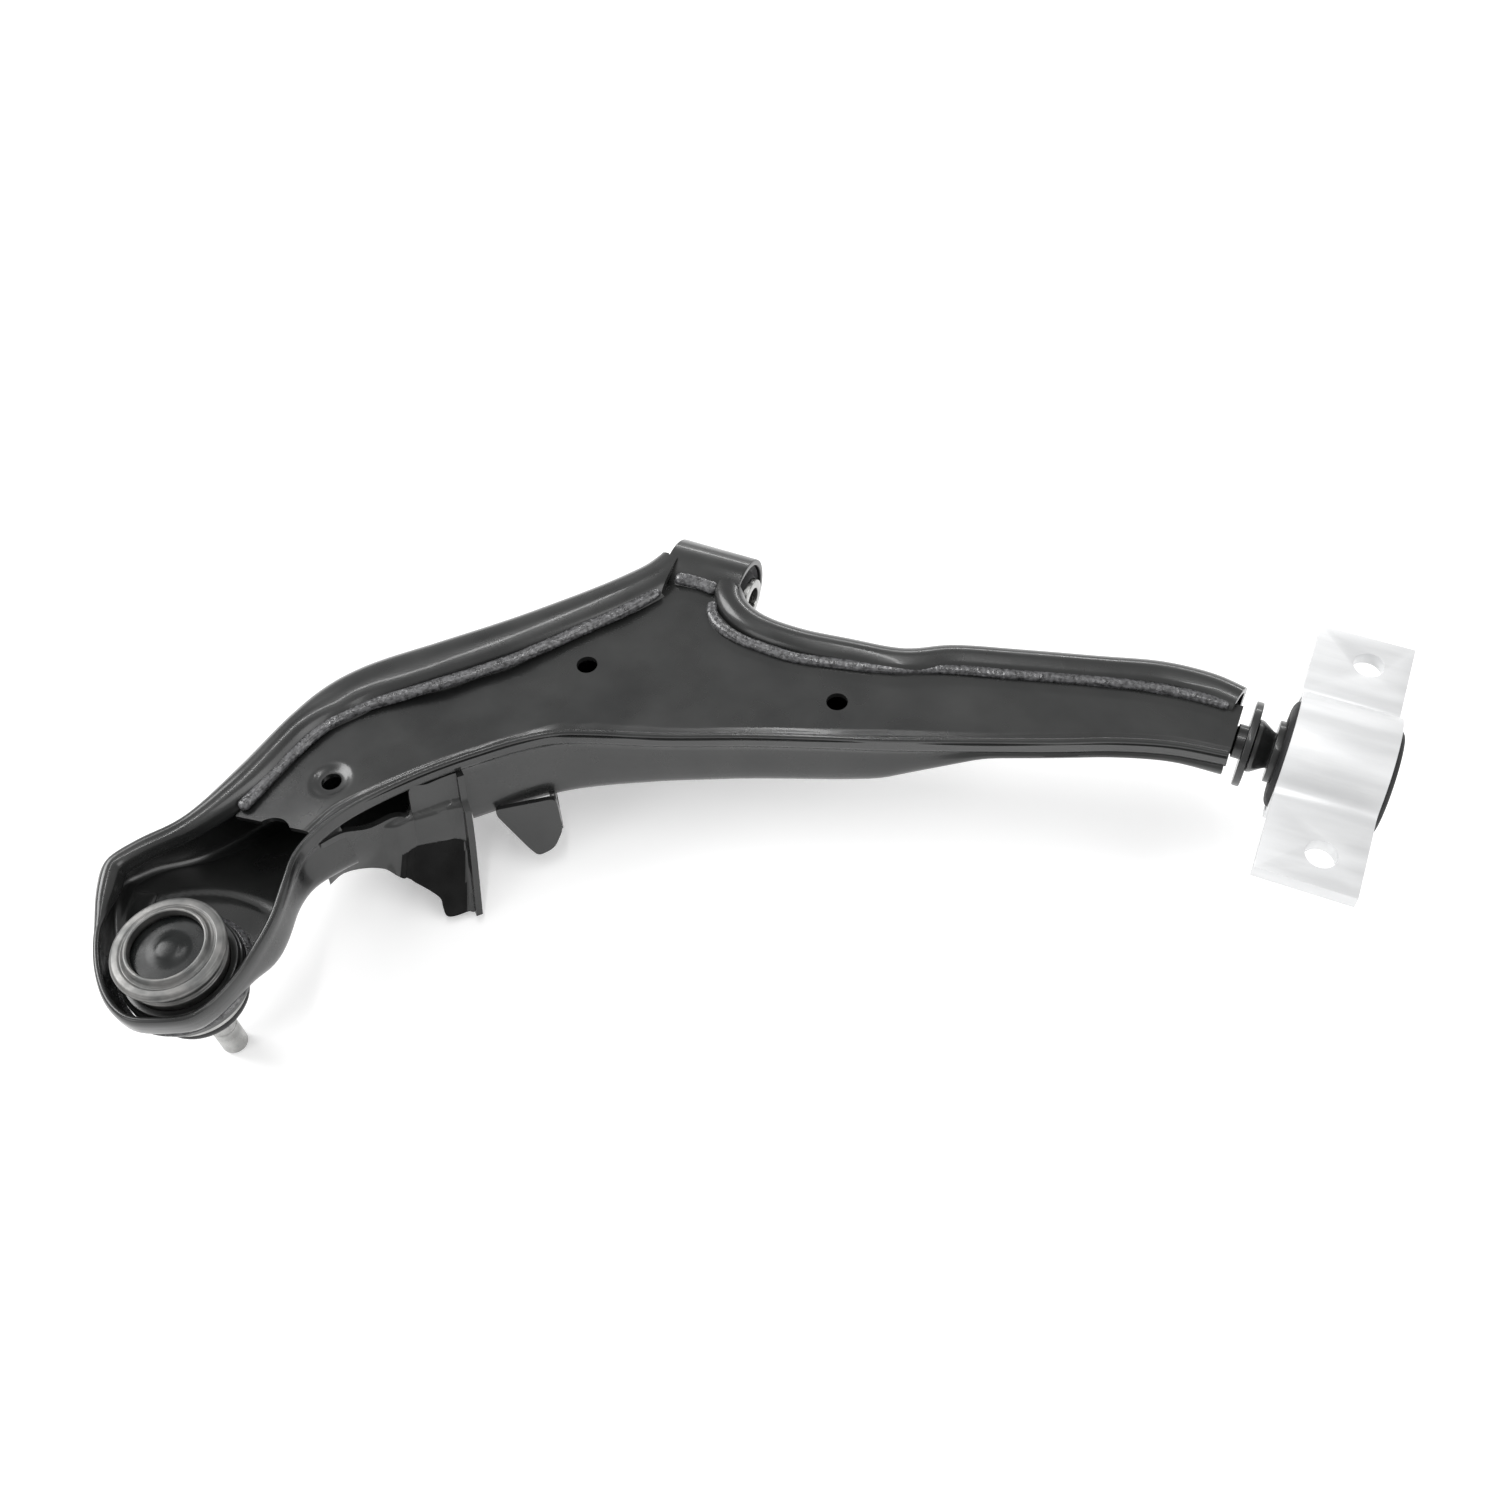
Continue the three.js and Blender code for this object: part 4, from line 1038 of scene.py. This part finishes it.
# Profiles are (radius, height), or (radius, x) for a piece along the hinge axis.
TURNED = [
    # node, body, axis, material, rounding, profile
    ("front_bush_outer_sleeve", "arm", "X", COAT, 0.7, [
        (FRONT_BORE_R, FRONT_LEFT_X), (FRONT_R, FRONT_LEFT_X),
        (FRONT_R, FRONT_RIGHT_X), (FRONT_BORE_R, FRONT_RIGHT_X),
    ]),
    ("front_bush_rubber", "arm", "X", RUBBER, 1.2, [
        (10.7, FRONT_LEFT_X - 1), (13.6, FRONT_LEFT_X + 3), (FRONT_RUBBER_R, FRONT_LEFT_X + 1),
        (FRONT_RUBBER_R, FRONT_RIGHT_X - 1), (13.6, FRONT_RIGHT_X - 3),
        (10.7, FRONT_RIGHT_X + 1),
    ]),
    ("front_bush_inner_sleeve", "front_inner", "X", STEEL, 0.5, [
        (FRONT_TUBE_INNER_R, FRONT_LEFT_X - 3), (FRONT_TUBE_R, FRONT_LEFT_X - 3),
        (FRONT_TUBE_R, FRONT_RIGHT_X + 3), (FRONT_TUBE_INNER_R, FRONT_RIGHT_X + 3),
    ]),
    ("rear_pin", "arm", "X", COAT, 0.6, [
        (0, -82), (5.6, -82), (6.6, -81), (6.6, -43.6), (8, -43.6), (8, -35.6), (12.5, -35.6),
        (12.2, -33.5), (8.8, -28.4), (8.4, -27.4), (8.4, PIN_END_X - 1), (7.4, PIN_END_X),
        (0, PIN_END_X),
    ]),
    ("rear_pin_washer", "arm", "X", COAT, 0.7, [
        (8.35, -39.4), (20, -39.4), (20, -36), (8.35, -36),
    ]),
    ("rear_bush_inner_sleeve", "arm", "X", COAT, 0.4, [
        (8.7, -27), (14.5, -27), (14.5, -23), (13, -22.6), (13, PIN_END_X - 0.6),
        (8.7, PIN_END_X - 0.6),
    ]),
    ("rear_bush_rubber", "rear_mount", "X", RUBBER, 1.6, [
        (13.3, -21.8), (15.4, -22), (17, -23.8), (22, -24), (25, -22.4),
        (25.2, 22.8), (23, 24.8), (17, 24.2), (13.3, 22.6),
    ]),
    ("rear_bush_outer_sleeve", "rear_mount", "X", STEEL, 0.3, [
        (25.3, -21.4), (26.6, -21.4), (26.6, 21.4), (25.3, 21.4),
    ]),
    ("ball_joint_collar", "arm", "Z", COAT, 0.8, [
        (21.35, -6), (COLLAR_R, -6), (COLLAR_R, 7), (24.6, 8), (24.6, 10), (21.35, 10),
    ]),
    ("ball_joint_housing", "arm", "Z", HOUSING, 0.9, [
        (12.4, -8), (14.9, -14), (18, -14), (18, -10.4), (21, -10.4), (21, -9.1), (20, -9.1),
        (20, -7.3), (21, -7.3), (21, 13.6), (22.4, 14.2), (22.4, 15.6), (21, 16.2), (21, 21.4),
        (24.4, 22.2), (24.4, 24.2), (23.2, 25.4), (20.4, 25.6), (19.6, 25.2), (18.4, 26),
        (17.5, 28), (16, 28), (15.6, 24.4), (16.8, 23.6), (16.8, -8),
    ]),
    ("ball_joint_cover", "arm", "Z", COVER, 1.4, [
        (0, 17.6), (16.4, 17.6), (16.4, 23), (13.5, 23.1), (9, 23.2), (6.5, 23.8), (4, 24.7),
        (0, 25),
    ]),
    ("preload_washer", "arm", "Z", STEEL, 0.3, [
        (8, 15.3), (15.6, 16), (15.6, 17.2), (8, 16.5),
    ]),
    ("ball_stud", "stud", "Z", STEEL, 0.5, [
        (0, STUD_TIP_Z), (STUD_R - 1.2, STUD_TIP_Z), (STUD_R, STUD_TIP_Z + 1.5), (STUD_R, -48),
        (5.3, -47), (5.3, -43), (STUD_R, -42), (STUD_R, -16),
        *[ball_profile(angle) for angle in range(150, 19, -5)],
        (0, ball_profile(20)[1]),
    ]),
    ("boot_large_ring", "arm", "Z", STEEL, 0.5, [
        (20.5, -13.8), (22, -13.8), (22, -11.6), (20.5, -11.6),
    ]),
    ("boot_small_ring", "boot_end", "Z", STEEL, 0.5, [
        (9.65, -32), (11.2, -32), (11.2, -29.8), (9.65, -29.8),
    ]),
    ("collar_weld", "arm", "Z", WELD, 0.7, [(26.3, 1.3), (29.4, 1.3), (26.3, 4.6)]),
]

BOOT_LINE = [
    (19.6, -11.2), (19.7, -14.6), (20.3, -17), (19.4, -19.6), (14.4, -24.3), (9, -28.2),
    (8.8, -32.6),
]
BOOT_HALF_THICKNESS = 0.8


def boot():
    """Thin dust boot; its fold stands out below the large ring."""
    line = smooth_curve(BOOT_LINE, steps=6)[0]
    way = directions(line)
    side = np.column_stack([way[:, 1], -way[:, 0]]) * BOOT_HALF_THICKNESS
    profile = [tuple(p) for p in np.vstack([line - side, (line + side)[::-1]])]
    return turned("dust_boot_skin", profile, 0.1)


# ---------------------------------------------------------------- assembly
def build_arm():
    """Everything that isn't turned: the pressing, plate, beads and brackets."""
    body = without_crumbs(shell())
    body.name = "pressing"
    finish_piece(body, "lower_shell", COAT, sharp=48)

    cover = plate()
    holes = [prism("hole", circle(x, y, r), 0, 30) for x, y, r in (*PLATE_HOLES, NOTCH)]
    cut(cover, rod(FRONT_R + GAP, FRONT_LEFT_X - 8, FRONT_RIGHT_X + 8), *holes)
    without_crumbs(cover)
    cover.name = "cover_plate"
    finish_piece(cover, "top_plate", COAT, sharp=40)

    for number, (name, node, points, radius, height_at) in enumerate(BEADS):
        piece = bead(name, points, radius, height_at, seed=number * 7.0)
        finish_piece(piece, node, WELD, sharp=80)

    bracket = rear_bracket()
    bracket.name = "clamp_bracket"
    finish_piece(bracket, "rear_bracket", ALUMINIUM, body="rear_mount")
    tab = stabiliser_tab()
    tab.name = "tab_bracket"
    finish_piece(tab, "stabiliser_tab_bracket", COAT)
    # The recess in the tab gets painted shade: a darker, duller coat on its faces.
    paint_pocket_shade(tab)
    ear = stabiliser_ear()
    ear.name = "ear_bracket"
    finish_piece(ear, "stabiliser_ear_bracket", COAT)


def build_turned():
    for node, body, axis, material, rounding, profile in TURNED:
        piece = turned(node + "_turned", profile, rounding, axis)
        finish_piece(piece, node, material, body, sharp=50)


def build_boot():
    """The boot bends from the seat, under its large ring, to its small end."""
    piece = boot()
    piece.data.materials.append(RUBBER)
    piece.data.shade_smooth()
    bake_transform(piece)
    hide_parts("dust_boot")


def dress_cad_nodes():
    """Pieces whose CAD shape stays."""
    for node, material in (("ball_seat", POLYMER), ("snap_ring", STEEL)):
        kept = bpy.data.objects[node]
        kept.data.materials.clear()
        kept.data.materials.append(material)


# ---------------------------------------------------------------- stage
FLOOR_HALF = 6.0  # metres, as everything on the stage
LIGHTS_AIM = Vector((-0.25, -0.1, 0))
SOFTBOXES = [
    # name, place, width, height, watts
    ("key", (-1.9, -0.1, 1.3), 1.0, 1.0, 26),
    ("fill", (1.5, -0.3, 1.4), 1.3, 1.3, 14),
    ("front", (-0.9, -1.1, 0.6), 0.5, 0.5, 2),
    ("overhead_strip", (-0.3, -0.12, 1.5), 1.5, 0.06, 6),
    ("back_strip", (-0.5, 1.7, 0.7), 1.8, 0.12, 9),
]


def lay_floor():
    """Pale paper that gives off a little light, which softens the shadow on it."""
    mesh = bpy.data.meshes.new("studio_floor")
    level = FLOOR_Z / 1000
    corners = [(-1, -1), (1, -1), (1, 1), (-1, 1)]
    mesh.from_pydata(
        [(x * FLOOR_HALF, y * FLOOR_HALF, level) for x, y in corners], [], [(0, 1, 2, 3)]
    )
    ground = bpy.data.objects.new("studio_floor", mesh)
    bpy.context.collection.objects.link(ground)
    paper = new_material(
        "studio_floor",
        Base_Color=(0.92, 0.92, 0.92, 1),
        Roughness=0.9,
        Emission_Color=(1, 1, 1, 1),
        Emission_Strength=0.26,
    )
    mesh.materials.append(paper)


def light_studio():
    """White surroundings and five soft boxes, all aimed at the arm's middle."""
    world = bpy.data.worlds.new("studio")
    world.use_nodes = True
    background = world.node_tree.nodes["Background"]
    background.inputs["Color"].default_value = (1, 1, 1, 1)
    background.inputs["Strength"].default_value = 0.6
    bpy.context.scene.world = world
    for name, spot, width, height, watts in SOFTBOXES:
        light = bpy.data.lights.new(name, "AREA")
        light.shape = "RECTANGLE"
        light.size = width
        light.size_y = height
        light.energy = watts
        holder = bpy.data.objects.new(name, light)
        holder.location = spot
        towards = LIGHTS_AIM - Vector(spot)
        holder.rotation_euler = towards.to_track_quat("-Z", "Y").to_euler()
        bpy.context.collection.objects.link(holder)


CAMERA_PLACE = (-0.0822, -0.4625, 0.5775)
CAMERA_RIGHT = (0.9182, 0.39338, -0.04652)
CAMERA_UP = (-0.29308, 0.75368, 0.58828)
CAMERA_BACK = (0.26648, -0.52652, 0.80732)


def aim_camera():
    """The photograph's viewpoint."""
    lens = bpy.data.cameras.new("camera")
    lens.sensor_width = 36
    lens.lens = 36.96
    camera = bpy.data.objects.new("camera", lens)
    turn = Matrix((CAMERA_RIGHT, CAMERA_UP, CAMERA_BACK)).transposed().to_4x4()
    camera.matrix_world = Matrix.Translation(CAMERA_PLACE) @ turn
    bpy.context.collection.objects.link(camera)
    bpy.context.scene.camera = camera


aim_camera()
lay_floor()
light_studio()
bpy.context.scene.view_settings.view_transform = "Standard"
build_arm()
build_turned()
build_boot()
dress_cad_nodes()
